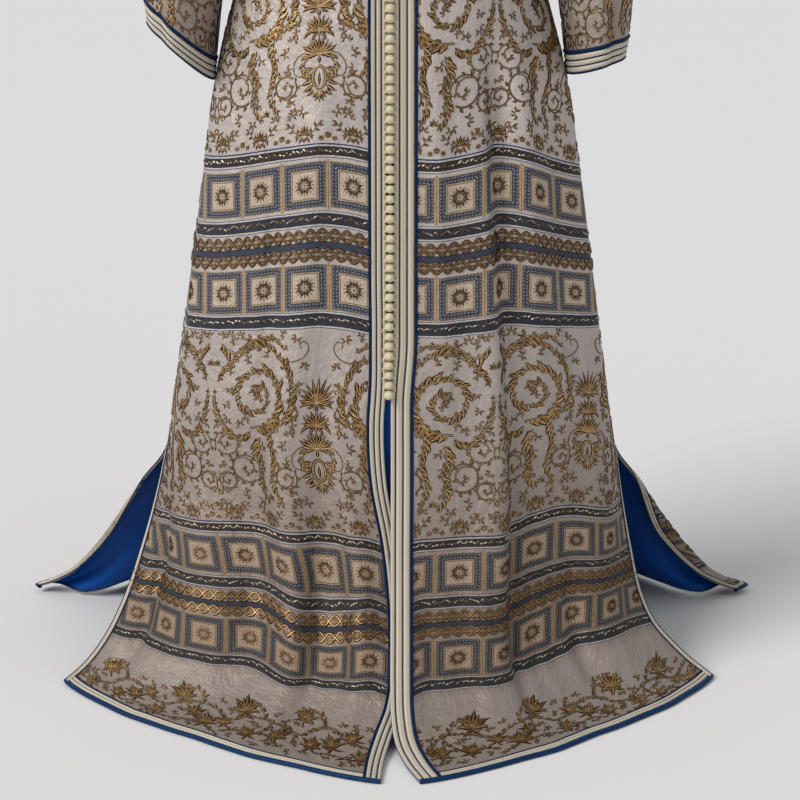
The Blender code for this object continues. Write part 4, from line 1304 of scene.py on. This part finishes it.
def brocade_material():
    """Satin with its woven bands and tiles, set out by the cloth's s and p."""
    g = Graph("brocade_cloth", Roughness=.40, Metallic=.30, Sheen_Weight=.10, Sheen_Roughness=.4,
              Specular_IOR_Level=.45)
    x, y = g.cloth_xy()
    # the set of bands, repeated down the cloth and a little uneven
    down = g.math("DIVIDE", g.math("SUBTRACT", 20 * REPEAT_DOWN + SET_TOP, y), REPEAT_DOWN)
    down = g.math("MULTIPLY", g.math("FRACT", down), REPEAT_DOWN)
    down = g.math("ADD", down, g.uneven(x, y, 90, 3.0, .0012))
    bands, in_bands = g.ramp(g.math("DIVIDE", down, BAND_REACH), shares(BANDS, BAND_REACH))
    # tiles
    wobble = g.uneven(x, y, 260, 2.0, .0016)
    u = g.math("FRACT", g.math("ADD", g.math("DIVIDE", x, TILE), 20.5))
    u = g.math("MULTIPLY", g.math("ABSOLUTE", g.math("SUBTRACT", u, .5)), TILE)
    v = g.math("MINIMUM", *(g.math("ABSOLUTE", g.math("SUBTRACT", down, middle)) for middle in TILE_ROWS))
    frame_at = g.math("ADD", g.math("MAXIMUM", u, v), wobble)
    tiles, in_tiles = g.ramp(g.math("DIVIDE", frame_at, TILE_REACH), shares(TILE_FRAMES, TILE_REACH))
    corner = g.math("ADD", u, v)
    dash = g.math("GREATER_THAN", g.wave(corner, .0046), .20)
    row_one = g.math("COMPARE", frame_at, .0222, .0009)
    row_two = g.math("COMPARE", frame_at, .0264, .0008)
    flecks = g.math("MULTIPLY", g.math("MULTIPLY", dash, g.math("MAXIMUM", row_one, row_two)), .62)
    tiles = g.mix(flecks, tiles, colour("BDB9B4"))
    beads = g.math("GREATER_THAN", g.wave(corner, .0022), .1)
    edge_row = g.math("MAXIMUM", g.math("COMPARE", frame_at, .0184, .0013),
                      g.math("COMPARE", frame_at, .0288, .0009))
    tiles = g.mix(g.math("MULTIPLY", g.math("MULTIPLY", beads, edge_row), .55), tiles, colour("D9C5A2"))
    splits, in_splits = g.ramp(g.math("DIVIDE", u, TILE_REACH), shares(SPLITS, TILE_REACH))
    in_splits = g.math("MULTIPLY", in_splits, g.math("LESS_THAN", v, SPLIT_HALF_HEIGHT))
    # satin ground
    soft = g.noise(g.stretched(x, y, 7, 5), 1.0, 3.0)
    # painted shade: the satin ground darkens down the cloth towards the hem
    ground = g.mix(g.math("MULTIPLY", g.math("SUBTRACT", .86, y), 1.7), SATIN, SATIN_SHADED_LOW)
    ground.node.clamp_factor = True
    # painted sheen and shade: large soft patches darken the satin between its lighter places
    ground = g.mix(soft, ground, g.mix(.95, ground, colour("8E8680")))
    slub = g.noise(g.stretched(x, y, 160, 1500), 1.0, 2.0, .6)
    warp_lines = g.noise(g.stretched(x, y, 1700, 60), 1.0, 2.0, .6)
    ground = g.mix(g.math("MULTIPLY", slub, .16), ground, colour("8D857F"))
    ground = g.mix(g.math("MULTIPLY", warp_lines, .12), ground, colour("E6E2DE"))
    tint = g.mix(in_bands, ground, bands)
    tint = g.mix(in_splits, tint, splits)
    tint = g.mix(in_tiles, tint, tiles)
    # painted shade: the lower cloth, its bands and tiles too, is darkened, and less so close to the hem
    low = g.math("MULTIPLY", g.math("SUBTRACT", .56, y), 3.4)
    low.node.use_clamp = True
    near_hem = g.math("MULTIPLY", g.math("SUBTRACT", y, .125), 40.0)
    near_hem.node.use_clamp = True
    low = g.math("MULTIPLY", low, g.math("ADD", g.math("MULTIPLY", near_hem, .75), .25))
    tint = g.mix(g.math("MULTIPLY", low, .85), tint, colour("C0B4A9"), "MULTIPLY")
    grain = g.noise(g.stretched(x, y, 900, 900), 1.0, 2.0, .6)
    figured = g.math("MAXIMUM", in_bands, g.math("MAXIMUM", in_tiles, in_splits))
    mottle = g.noise(g.stretched(x, y, 420, 420), 1.0, 3.0, .7)
    mottle = g.math("MULTIPLY", g.math("SUBTRACT", mottle, .47), 7.0)
    mottle.node.use_clamp = True
    tint = g.mix(g.math("MULTIPLY", g.math("MULTIPLY", mottle, figured), .55), tint,
                 g.mix(.60, tint, colour("3A2A20")))
    tint = g.mix(g.math("MULTIPLY", g.math("MULTIPLY", grain, figured), .45), tint,
                 g.mix(.55, tint, colour("1C1816")))
    # relief: raised bands, weave and fine creasing
    weave = g.math("MULTIPLY", g.wave(x, .0011), g.wave(y, .0011))
    crinkle = g.noise(g.stretched(x, y, 46, 30), 1.0, 4.0, .62)
    fine = g.noise(g.stretched(x, y, 190, 150), 1.0, 3.0, .6)
    normal = g.bump(crinkle, .0075, .65)
    normal = g.bump(fine, .0016, .55, normal)
    threads = g.math("ADD", g.math("MULTIPLY", weave, .25), g.math("ADD", slub, flecks))
    normal = g.bump(threads, .0003, .6, normal)
    normal = g.bump(g.math("MULTIPLY", figured, g.math("ADD", grain, .8)), .0006, .8, normal)
    rough = g.math("ADD", .36, g.math("MULTIPLY", soft, .14))
    rough = g.math("ADD", rough, g.math("MULTIPLY", figured, .18))
    return g.done(tint, normal, rough)


def gold_material():
    """Gold thread, with painted shade at each ribbon's edges and a painted highlight along its ridge. The
    tone of each ribbon darkens or lightens it.
    """
    g = Graph("gold_thread", Metallic=.70, Roughness=.33, Specular_IOR_Level=.5)
    across, tone = g.cloth_xy()
    grain = g.noise(g.node("ShaderNodeTexCoord").outputs["Object"], 900, 2.0, .6)
    height = g.math("ADD", across, g.math("MULTIPLY", g.math("SUBTRACT", grain, .5), .5))
    # painted relief: dark brown at a ribbon's edges (painted shade) rising to pale gold on its ridge (painted
    # highlight)
    painted_relief = g.shading(height, (0, "150D06"), (.45, "33200E"), (.66, "6B4720"), (.86, "AD8144"),
                      (1.0, "F0DDB0"))
    dark_tone_painted_relief = g.shading(height, (0, "120B05"), (.50, "2E1C0C"), (.84, "5E3F1E"), (1.0, "9C7840"))
    tint = g.mix(g.math("MULTIPLY", tone, .85), painted_relief, dark_tone_painted_relief)
    tint.node.clamp_factor = True
    light = g.math("MULTIPLY", tone, -.8)
    light.node.use_clamp = True
    tint = g.mix(light, tint, colour("E9DFC8"))
    normal = g.bump(grain, .0004, .5)
    return g.done(tint, normal)


def lining_material():
    """Royal blue satin."""
    g = Graph("lining_satin", Roughness=.48, Specular_IOR_Level=.12)
    x, y = g.cloth_xy()
    soft = g.noise(g.stretched(x, y, 9, 5), 1.0, 2.0)
    tint = g.mix(soft, colour("003079"), colour("004E9E"))
    thread = g.noise(g.stretched(x, y, 1500, 120), 1.0, 2.0)
    tint = g.mix(g.math("MULTIPLY", thread, .25), tint, colour("002358"))
    normal = g.bump(g.noise(g.stretched(x, y, 24, 14), 1.0, 3.0), .0035, .45)
    normal = g.bump(thread, .0002, .5, normal)
    return g.done(tint, normal)


def braid_material():
    """Silk braid: two plaited halves, slanting away from the middle, with painted shade in the hollows
    between the plaits.
    """
    g = Graph("silk_braid", Roughness=.55, Sheen_Weight=.3)
    across, along = g.cloth_xy()
    slant = g.math("ABSOLUTE", g.math("SUBTRACT", across, .5))
    wave = g.wave(g.math("SUBTRACT", g.math("DIVIDE", along, .0030), g.math("MULTIPLY", slant, 1.7)), 1)
    height = g.math("ADD", g.math("MULTIPLY", wave, .5), .5)
    patch = g.noise(g.stretched(across, along, 3, 220), 1.0, 2.0)
    # painted shade: the plaits darken into their hollows, by the same height that bumps them
    tint = g.mix(height, colour("8C8272"), colour("F0E6CE"))
    tint = g.mix(g.math("MULTIPLY", patch, .55), tint, colour("BFB19C"))
    # painted shade: darker still in the hollows towards the braid's edges
    edge = g.math("MULTIPLY", g.math("GREATER_THAN", slant, .36), g.math("SUBTRACT", 1.0, height))
    tint = g.mix(g.math("MULTIPLY", edge, .85), tint, colour("3A3F4C"))
    rib = g.math("COMPARE", slant, .0, .07)
    tint = g.mix(g.math("MULTIPLY", rib, .40), tint, colour("6B6152"))
    return g.done(tint, g.bump(height, .0005, .8))


def cord_material():
    """Twisted navy cord."""
    g = Graph("navy_cord", Roughness=.6, Specular_IOR_Level=.12)
    across, along = g.cloth_xy()
    wave = g.wave(g.math("ADD", g.math("DIVIDE", along, .0026), across), 1)
    height = g.math("ADD", g.math("MULTIPLY", wave, .5), .5)
    tint = g.mix(height, colour("021026"), colour("082B57"))
    return g.done(tint, g.bump(height, .0004, .7))


def piping_material():
    """Navy satin over a cord."""
    g = Graph("piping_satin", Roughness=.5, Specular_IOR_Level=.14)
    x, y = g.cloth_xy()
    thread = g.noise(g.stretched(x, y, 300, 700), 1.0, 2.0)
    return g.done(g.mix(thread, colour("02203F"), colour("083767")), g.bump(thread, .0003, .5))


def button_material():
    """Balls and loops of cream silk."""
    g = Graph("knotted_silk", Roughness=.5, Sheen_Weight=.35)
    place = g.node("ShaderNodeTexCoord").outputs["Object"]
    strand = g.noise(place, 900, 3.0, .65)
    tint = g.mix(strand, colour("B09C68"), colour("F3E9CB"))
    return g.done(tint, g.bump(strand, .0011, .9))


def floor_material():
    g = Graph("pale_floor", Roughness=.85, Specular_IOR_Level=.1)
    return g.done(colour("E2E1E1"))


SCROLLS = scroll_field()
SETS = set_unit()
HEMS = hem_field()
MATERIALS = {
    "brocade": brocade_material(),
    "gold": gold_material(),
    "lining": lining_material(),
    "braid": braid_material(),
    "cord": cord_material(),
    "button": button_material(),
    "piping": piping_material(),
}


# ---- the garment ------------------------------------------------------------------------------------
# How far from each front's centre edge the middles of a palmette and of a tile are.
PALMETTE_AT = {"right": 0.090, "left": -0.020}
TILE_AT = {"right": 0.047, "left": 0.027}
SLEEVE_PALMETTE_AT = 0.20

fronts = {side: panel_cloth("front_" + side, side) for side in ("right", "left")}
backs = {side: panel_cloth("back", side) for side in ("right", "left")}
sleeves = {side: sleeve_cloth(side) for side in ("right", "left")}
SCROLL_TOPS = [SET_TOP - SET_DEPTH + k * REPEAT_DOWN for k in (0, 1, 2)]
SET_TOPS = [SET_TOP + k * REPEAT_DOWN for k in (-1, 0, 1)]
LOW_SET_FOOT = SET_TOP - REPEAT_DOWN - SET_DEPTH
BODY_FIELDS = ([("scroll", p) for p in SCROLL_TOPS] + [("set", p) for p in SET_TOPS]
               + [("hem", LOW_SET_FOOT)])
SLEEVE_FIELDS = [("scroll", SCROLL_TOPS[0]), ("set", SET_TOP), ("scroll", SCROLL_TOPS[1])]

# beads across each band, from its edge inwards
BEADS_RIGHT = [Bead("cord", .0000, .0228, 0), Bead("braid", .0002, .0046, .0013),
               Bead("cord", .0049, .0059, .0006), Bead("braid", .0062, .0118, .0015),
               Bead("cord", .0121, .0131, .0006), Bead("braid", .0134, .0188, .0015),
               Bead("cord", .0191, .0228, .0018)]
BEADS_LEFT = [Bead("cord", .0000, .0298, 0), Bead("braid", .0002, .0056, .0013),
              Bead("cord", .0059, .0069, .0006), Bead("braid", .0072, .0152, .0016),
              Bead("cord", .0155, .0166, .0006), Bead("braid", .0169, .0252, .0016),
              Bead("cord", .0255, .0298, .0020)]
BEADS_HEM = [Bead("cord", .0026, .0146, 0), Bead("braid", .0030, .0076, .0015),
             Bead("braid", .0080, .0122, .0015), Bead("cord", .0125, .0146, .0014)]
BEADS_SLIT = [Bead("cord", .0000, .0128, 0), Bead("cord", .0000, .0018, .0016),
              Bead("braid", .0020, .0060, .0015), Bead("braid", .0064, .0104, .0015),
              Bead("cord", .0107, .0128, .0013)]
BEADS_CUFF = [Bead("cord", .0000, .0305, 0), Bead("cord", .0000, .0026, .0018),
              Bead("braid", .0029, .0094, .0015), Bead("cord", .0097, .0107, .0007),
              Bead("braid", .0110, .0174, .0015), Bead("cord", .0177, .0187, .0007),
              Bead("braid", .0190, .0254, .0015), Bead("cord", .0258, .0305, .0022)]
BAND_SHIFT = 0.0052       # the beads start this far from the edge where the buttons lie between
PIPING = 0.0036


def outward_of(cloth):
    """Normals of the nearest grid points, for turning faces out."""
    points = cloth.points.reshape(-1, 3)
    normals = cloth.normals.reshape(-1, 3)

    def find(where):
        found = np.empty_like(where)
        for k in range(0, len(where), 400):
            part = where[k:k + 400]
            gap = ((part[:, None, :] - points[None, ::7]) ** 2).sum(axis=2)
            found[k:k + 400] = normals[::7][gap.argmin(axis=1)]
        return found
    return find


def run_of(line):
    """How far along a line each of its points is."""
    return np.concatenate([[0], np.cumsum(np.linalg.norm(np.diff(line, axis=0), axis=1))])


def band_down_edge(name, cloth, beads, rows, edge, shift=None):
    """Beads down a front's centre edge or up a slit edge."""
    rows = np.asarray(rows, float)
    first = np.interp(rows, np.arange(len(cloth.first)), cloth.first)
    length = np.interp(rows, np.arange(len(cloth.last)), cloth.last)
    offset = np.zeros(len(rows)) if shift is None else shift

    def place(index, distance, lift):
        row = rows[index]
        s = first[index] + distance + offset[index]
        if edge == "last":
            s = length[index] - distance
        return cloth.place(row, cloth.column_at(row, s), lift)
    line = place(np.arange(len(rows))[:, None], np.zeros((len(rows), 1)), np.zeros((len(rows), 1)))[:, 0]
    return beaded(name, place, run_of(line), beads, outward_of(cloth))


def band_along_hem(name, cloth, beads, first, last):
    """Beads along a hem between two distances from the panel's side edges."""
    columns = cloth.points.shape[1]
    count = columns * 2
    low = first / cloth.last[-1] * (columns - 1)
    high = (columns - 1) * (1 - last / cloth.last[-1])
    places = np.linspace(low, high, count)

    def place(index, distance, lift):
        column = places[index]
        return cloth.place(cloth.hem_row(column, distance), column, lift)
    line = place(np.arange(count)[:, None], np.zeros((count, 1)), np.zeros((count, 1)))[:, 0]
    return beaded(name, place, run_of(line), beads, outward_of(cloth))


def tube(points, radius, sides=8, flat=1.0):
    """Points and quads of a round cord along a line."""
    points = np.asarray(points, float)
    way = np.gradient(points, axis=0)
    way /= np.linalg.norm(way, axis=1)[:, None]
    side = np.cross(way, [0.0, 0.0, 1.0])
    short = np.linalg.norm(side, axis=1) < 1e-3
    side[short] = [1.0, 0.0, 0.0]
    side /= np.linalg.norm(side, axis=1)[:, None]
    up = np.cross(side, way)
    angles = np.linspace(0, 2 * math.pi, sides + 1)
    ring = np.cos(angles)[:, None] * side[:, None] + np.sin(angles)[:, None] * up[:, None] * flat
    grid = points[:, None] + ring * radius
    uv = np.stack(np.broadcast_arrays(np.linspace(0, 1, sides + 1)[None], run_of(points)[:, None]), axis=2)
    return grid.reshape(-1, 3), grid_quads(len(points), sides + 1)[:, ::-1], uv.reshape(-1, 2)


def hem_piping(name, cloths, radius=PIPING):
    """The thick blue piping that turns under the hem, and round each of its corners."""
    lines = [cloth.points[-1] for cloth in cloths]
    line = lines[0]
    if len(lines) > 1:
        line = np.concatenate([lines[0][::-1], lines[1][1:]])
    line = line.copy()
    line[:, 2] = np.maximum(line[:, 2] - .0014, FLOOR + radius * .8 + .0003)
    points, quads, uv = tube(line, radius, 10, .8)
    return new_piece(name, points, quads, MATERIALS["piping"], uv * [.02, 1])


LINING_SHORT = 2          # columns that a lining stops before a side edge
LINING_WRAP = int(.022 / .55 * COLUMNS)   # and further where the back's edge wraps round
LINING_FROM = SLIT_ROW - 1.2
HEM_END = 0.009           # a hem's braid stops this far before the slit edge
SHIFT_FROM = 3.4          # the rows between which the buttons hold the fronts' braids apart
SHIFT_TO = 13.8
BODY_MARGINS = {"right": (.021, .001, .013), "left": (.028, .001, .013)}
BACK_MARGIN = (-.02, .001, .013)
SLEEVE_MARGIN = (-.01, -.01, .030)
lined = slice(int(LINING_FROM / HEM_ROW * (ROWS - 1)), None)
slit_rows = np.linspace(SLIT_ROW / HEM_ROW * (ROWS - 1), ROWS - 1, ROWS)
pieces = {}


def replacing(node, made):
    """The piece, or the first of the pieces, takes the place of the CAD node."""
    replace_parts(made[0] if isinstance(made, list) else made, node)
    return made


def brocade_shell(name, cloths, uvs):
    made = shell(name + "_cloth", cloths, 0.0, BROCADE, MATERIALS["brocade"], "brocade", uvs)
    pieces[name] = replacing(name, made)


def lining_shell(name, cloths, short):
    made = shell(name + "_cloth", cloths, -BROCADE - LINING_GAP, LINING, MATERIALS["lining"], "lining",
                 [cloth_uv(cloth) for cloth in cloths], lined, short)
    pieces[name] = replacing(name, made)


def slit_band(name, cloth):
    return replacing(name, band_down_edge(name, cloth, BEADS_SLIT, slit_rows, "last"))


def add_front(side, cloth):
    name = "front_" + side
    brocade_shell(name, [cloth], [cloth_uv(cloth, TILE_AT[side])])
    lining_shell("lining_" + name, [cloth], (LINING_SHORT,))
    rows = np.linspace(0, ROWS - 1, ROWS * 2)
    section = rows / (ROWS - 1) * HEM_ROW
    shift = BAND_SHIFT * (1 - ease(section - SHIFT_TO)) * ease((section - SHIFT_FROM) / .8)
    beads = BEADS_RIGHT if side == "right" else BEADS_LEFT
    band = "front_band_" + side
    trims = replacing(band, band_down_edge(band, cloth, beads, rows, "first", shift))
    trims += slit_band("slit_band_" + name, cloth)
    band = "hem_band_" + name
    trims += replacing(band, band_along_hem(band, cloth, BEADS_HEM, beads[0].end, HEM_END))
    trims.append(hem_piping("hem_piping_" + name, [cloth]))
    trims.append(gold_on("gold_" + name, cloth, PALMETTE_AT[side], TILE_AT[side], BODY_MARGINS[side],
                         BODY_FIELDS))
    pieces[name + "_trims"] = trims


def add_back():
    halves = [backs["left"], backs["right"]]
    brocade_shell("back", halves, [cloth_uv(cloth) for cloth in halves])
    lining_shell("lining_back", halves, (LINING_SHORT + LINING_WRAP, LINING_SHORT))
    trims = []
    for side, cloth in backs.items():
        trims += slit_band("slit_band_back_" + side, cloth)
        hem = band_along_hem("hem_band_back_" + side, cloth, BEADS_HEM, 0.0, HEM_END)
        if side == "left":
            replacing("hem_band_back", hem)
        trims += hem
        trims.append(gold_on("gold_back_" + side, cloth, 0.0, 0.0, BACK_MARGIN, BODY_FIELDS))
    trims.append(hem_piping("hem_piping_back", [backs["right"], backs["left"]]))
    pieces["back_trims"] = trims


def add_sleeve(side, cloth):
    name = "sleeve_" + side
    brocade_shell(name, [cloth], [cloth_uv(cloth, closed=True)])
    band = "cuff_band_" + side
    trims = replacing(band, band_along_hem(band, cloth, BEADS_CUFF, 0.0, 0.0))
    trims.append(gold_on("gold_" + name, cloth, SLEEVE_PALMETTE_AT, 0.0, SLEEVE_MARGIN, SLEEVE_FIELDS))
    pieces[name + "_trims"] = trims


for side, cloth in fronts.items():
    add_front(side, cloth)
add_back()
for side, cloth in sleeves.items():
    add_sleeve(side, cloth)


# ---- back of the neck -------------------------------------------------------------------------------
def snapped(points, cloths, lift):
    """The points moved on to the nearest cloth's outer face, and lifted off it."""
    grid = np.concatenate([c.points[:ROWS // 4].reshape(-1, 3) for c in cloths])
    normal = np.concatenate([c.normals[:ROWS // 4].reshape(-1, 3) for c in cloths])
    flat = points.reshape(-1, 3)
    found = np.empty_like(flat)
    for k in range(0, len(flat), 200):
        part = flat[k:k + 200]
        nearest = ((part[:, None] - grid[None]) ** 2).sum(axis=2).argmin(axis=1)
        out = normal[nearest]
        off = ((part - grid[nearest]) * out).sum(axis=1)
        found[k:k + 200] = part - out * off[:, None] + out * lift.reshape(-1)[k:k + 200, None]
    return found.reshape(points.shape)


NECK_LIFT = 0.0010
NECK_COLUMNS = 72


def neck_band():
    """The braid round the back of the neck, along the back's neck edge and its mirror image."""
    neck_rows = int(round(BACK_NECK_ROW / HEM_ROW * (ROWS - 1)))
    edge = backs["left"].points[:neck_rows + 1, 0]
    edge = edge[edge[:, 0] > .006]
    line = np.concatenate([edge, edge[-1:] * [0, 1, 1], mirrored(edge)[::-1]])
    length = run_of(line)
    even = np.linspace(0, length[-1], NECK_COLUMNS)
    line = np.stack([np.interp(even, length, line[:, k]) for k in range(3)], axis=1)
    for _ in range(6):
        line[1:-1] = (line[:-2] + 2 * line[1:-1] + line[2:]) / 4
    way = np.gradient(line, axis=0)
    away = line - line.mean(axis=0)
    away[:, 2] = -.01
    away -= way * ((away * way).sum(axis=1) / (way * way).sum(axis=1))[:, None]
    away /= np.linalg.norm(away, axis=1)[:, None]
    down = np.array([0, .35, -1.0]) * .9 + away * .7
    down /= np.linalg.norm(down, axis=1)[:, None]

    def place(index, distance, lift):
        flat = line[index] + down[index] * distance[..., None]
        return snapped(flat, backs.values(), lift + NECK_LIFT)

    def outward(where):
        return np.array([0, .6, .8]) + 0 * where
    return beaded("neck_band_back", place, even, BEADS_LEFT[1:], outward)


pieces["back_trims"] += replacing("neck_band_back", neck_band())


# ---- buttons ------------------------------------------------------------------------------------------
BUTTON_PITCH = 0.0126
BUTTON_RADIUS = 0.0061
BUTTON_TOP = 1.372
BUTTON_END = 0.402
BUTTON_DRIFT = -0.0020    # the row leans this far towards the wearer's right by its end
BUTTON_CLEAR = 0.0052
LAST_BUTTON = 1.12        # the last one is this much larger
LOOP_IN = 0.0016          # how far a loop's ends and its bow lie out from the row's middle
LOOP_OUT = 0.0080
LOOP_RADIUS = 0.0018


def edge_line(height):
    """Depth of the two centre edges at a height above the floor, taken from the cloth."""
    line = (fronts["left"].points[:, 1] + fronts["right"].points[:, 1] * [-1, 1, 1]) / 2
    return np.interp(-(height - SHOULDER_HEIGHT), -line[:, 2], line[:, 1])


def knot(centre, radius, turn):
    """A ball of knotted cord: its strands cross over and under as they go round."""
    rings, sides = 9, 16
    a, b = np.meshgrid(np.linspace(.04, math.pi - .04, rings),
                       np.linspace(0, 2 * math.pi, sides, endpoint=False), indexing="ij")
    over = .5 + .5 * np.cos(3 * b + 4.2 * a + turn) * np.cos(3 * b - 4.2 * a - turn)
    r = radius * (.93 + .11 * over)
    points = np.stack([r * np.sin(a) * np.cos(b), r * np.cos(a) * .92, r * np.sin(a) * np.sin(b)], axis=2)
    points = points[:, :, [0, 2, 1]]
    quads = []
    for i in range(rings - 1):
        for j in range(sides):
            k = (j + 1) % sides
            quads.append((i * sides + j, i * sides + k, (i + 1) * sides + k, (i + 1) * sides + j))
    return points.reshape(-1, 3) + centre, np.array(quads)


def button_row():
    """All the knots as one piece, and the loops between them as another."""
    count = int(round((BUTTON_TOP - BUTTON_END) / BUTTON_PITCH)) + 1
    points, quads, start = [], [], 0
    loops, loop_quads, loop_start = [], [], 0
    for k in range(count):
        height = BUTTON_TOP - k * (BUTTON_TOP - BUTTON_END) / (count - 1)
        x = BUTTON_DRIFT * ease((.60 - height) / .20) + RANDOM.uniform(-.0003, .0003)
        y = edge_line(height) - BUTTON_CLEAR
        size = BUTTON_RADIUS * RANDOM.uniform(.93, 1.03) * (LAST_BUTTON if k == count - 1 else 1)
        p, q = knot(np.array([x, y, height - SHOULDER_HEIGHT]), size, RANDOM.uniform(0, 6))
        points.append(p)
        quads.append(q + start)
        start += len(p)
        if k == count - 1:
            break
        for side in (-1, 1):
            at = np.linspace(0, 1, 9)
            reach = LOOP_OUT + RANDOM.uniform(-.0004, .0004)
            drop = BUTTON_PITCH * (.5 + .30 * np.cos(math.pi * at))
            line = np.stack([x + side * (LOOP_IN + (reach - LOOP_IN) * np.sin(math.pi * at)),
                             y + .0040 + .0012 * np.cos(math.pi * at),
                             height - SHOULDER_HEIGHT - drop], axis=1)
            p, q, _ = tube(line, LOOP_RADIUS, 5)
            loops.append(p)
            loop_quads.append(q + loop_start)
            loop_start += len(p)
    silk = MATERIALS["button"]
    return [new_piece("button_knots", np.concatenate(points), np.concatenate(quads), silk, None),
            new_piece("button_loops", np.concatenate(loops), np.concatenate(loop_quads), silk, None)]


pieces["front_left_trims"] += replacing("button_row", button_row())


# ---- blue strip behind the opening below the buttons -----------------------------------------------
# Its height above the floor, how far it lies behind the edges, and its two sides.
Underlap = namedtuple("Underlap", "height behind left right")
UNDERLAP = [
    Underlap(.460, .0045, -.016, .014),
    Underlap(.410, .0050, -.017, .014),
    Underlap(.360, .0065, -.018, .014),
    Underlap(.320, .0100, -.017, .013),
    Underlap(.285, .0150, -.014, .012),
    Underlap(.255, .0195, -.010, .010),
]


def underlap():
    """The strip, from just above the last button down to where the fronts close again."""
    at = np.linspace(0, len(UNDERLAP) - 1, 24)
    table = smooth(np.arange(len(UNDERLAP)), np.array(UNDERLAP), at)
    share = np.linspace(0, 1, 9)
    grid = []
    for height, behind, low, high in table:
        x = low + (high - low) * share
        y = edge_line(height) + behind - .0008 * np.cos(share * 9)
        grid.append(np.stack([x, y, np.full(9, height - SHOULDER_HEIGHT)], axis=1))
    grid = np.array(grid)
    cloth = Cloth(grid, np.zeros_like(grid) + [0, -1.0, 0], np.zeros(24), np.full(24, .03), table[:, 0])
    return shell("underlap_cloth", [cloth], 0.0, LINING, MATERIALS["lining"], "lining", [cloth_uv(cloth)])


pieces["underlap"] = replacing("underlap", underlap())


# ---- floor, lights and camera -------------------------------------------------------------------------
FLOOR_HALF = 60.0


def add_floor():
    corners = [(x * FLOOR_HALF, y * FLOOR_HALF, FLOOR) for x, y in ((-1, -1), (1, -1), (1, 1), (-1, 1))]
    mesh = bpy.data.meshes.new("floor")
    mesh.from_pydata(corners, [], [(0, 1, 2, 3)])
    mesh.materials.append(floor_material())
    floor = bpy.data.objects.new("floor", mesh)
    bpy.context.scene.collection.objects.link(floor)


def add_sun(name, way, angle, power, tint):
    """A sun that shines along way and is angle degrees across."""
    light = bpy.data.lights.new(name, "SUN")
    light.angle = math.radians(angle)
    light.energy = power
    light.color = tint
    lamp = bpy.data.objects.new(name, light)
    tilt = math.acos(-way[2] / math.hypot(*way))
    lamp.rotation_euler = (tilt, 0, math.atan2(way[1], way[0]) - math.pi / 2)
    bpy.context.scene.collection.objects.link(lamp)


add_floor()
add_sun("key", (.74, .52, -.72), 32, 2.45, (1.0, .985, .965))
add_sun("fill", (-.9, .75, -.50), 70, .30, (.96, .98, 1.0))
world = bpy.data.worlds.new("studio")
world.use_nodes = True
world.node_tree.nodes["Background"].inputs["Color"].default_value = (.93, .94, .96, 1)
world.node_tree.nodes["Background"].inputs["Strength"].default_value = .47
bpy.context.scene.world = world
bpy.context.scene.view_settings.view_transform = "Standard"
bpy.context.scene.view_settings.look = "None"

CAMERA_ACROSS = 0.0125
CAMERA_AWAY = 3.0
CAMERA_HEIGHT = 1.10
CAMERA_TILT = 76          # degrees up from looking straight down
CAMERA_LENS = 101.25      # millimetres
camera = bpy.data.cameras.new("camera")
camera.lens = CAMERA_LENS
camera.sensor_width = 36
camera.clip_end = 200
eye = bpy.data.objects.new("camera", camera)
eye.location = (CAMERA_ACROSS, -CAMERA_AWAY, CAMERA_HEIGHT - SHOULDER_HEIGHT)
eye.rotation_euler = (math.radians(CAMERA_TILT), 0, 0)
bpy.context.scene.collection.objects.link(eye)
bpy.context.scene.camera = eye
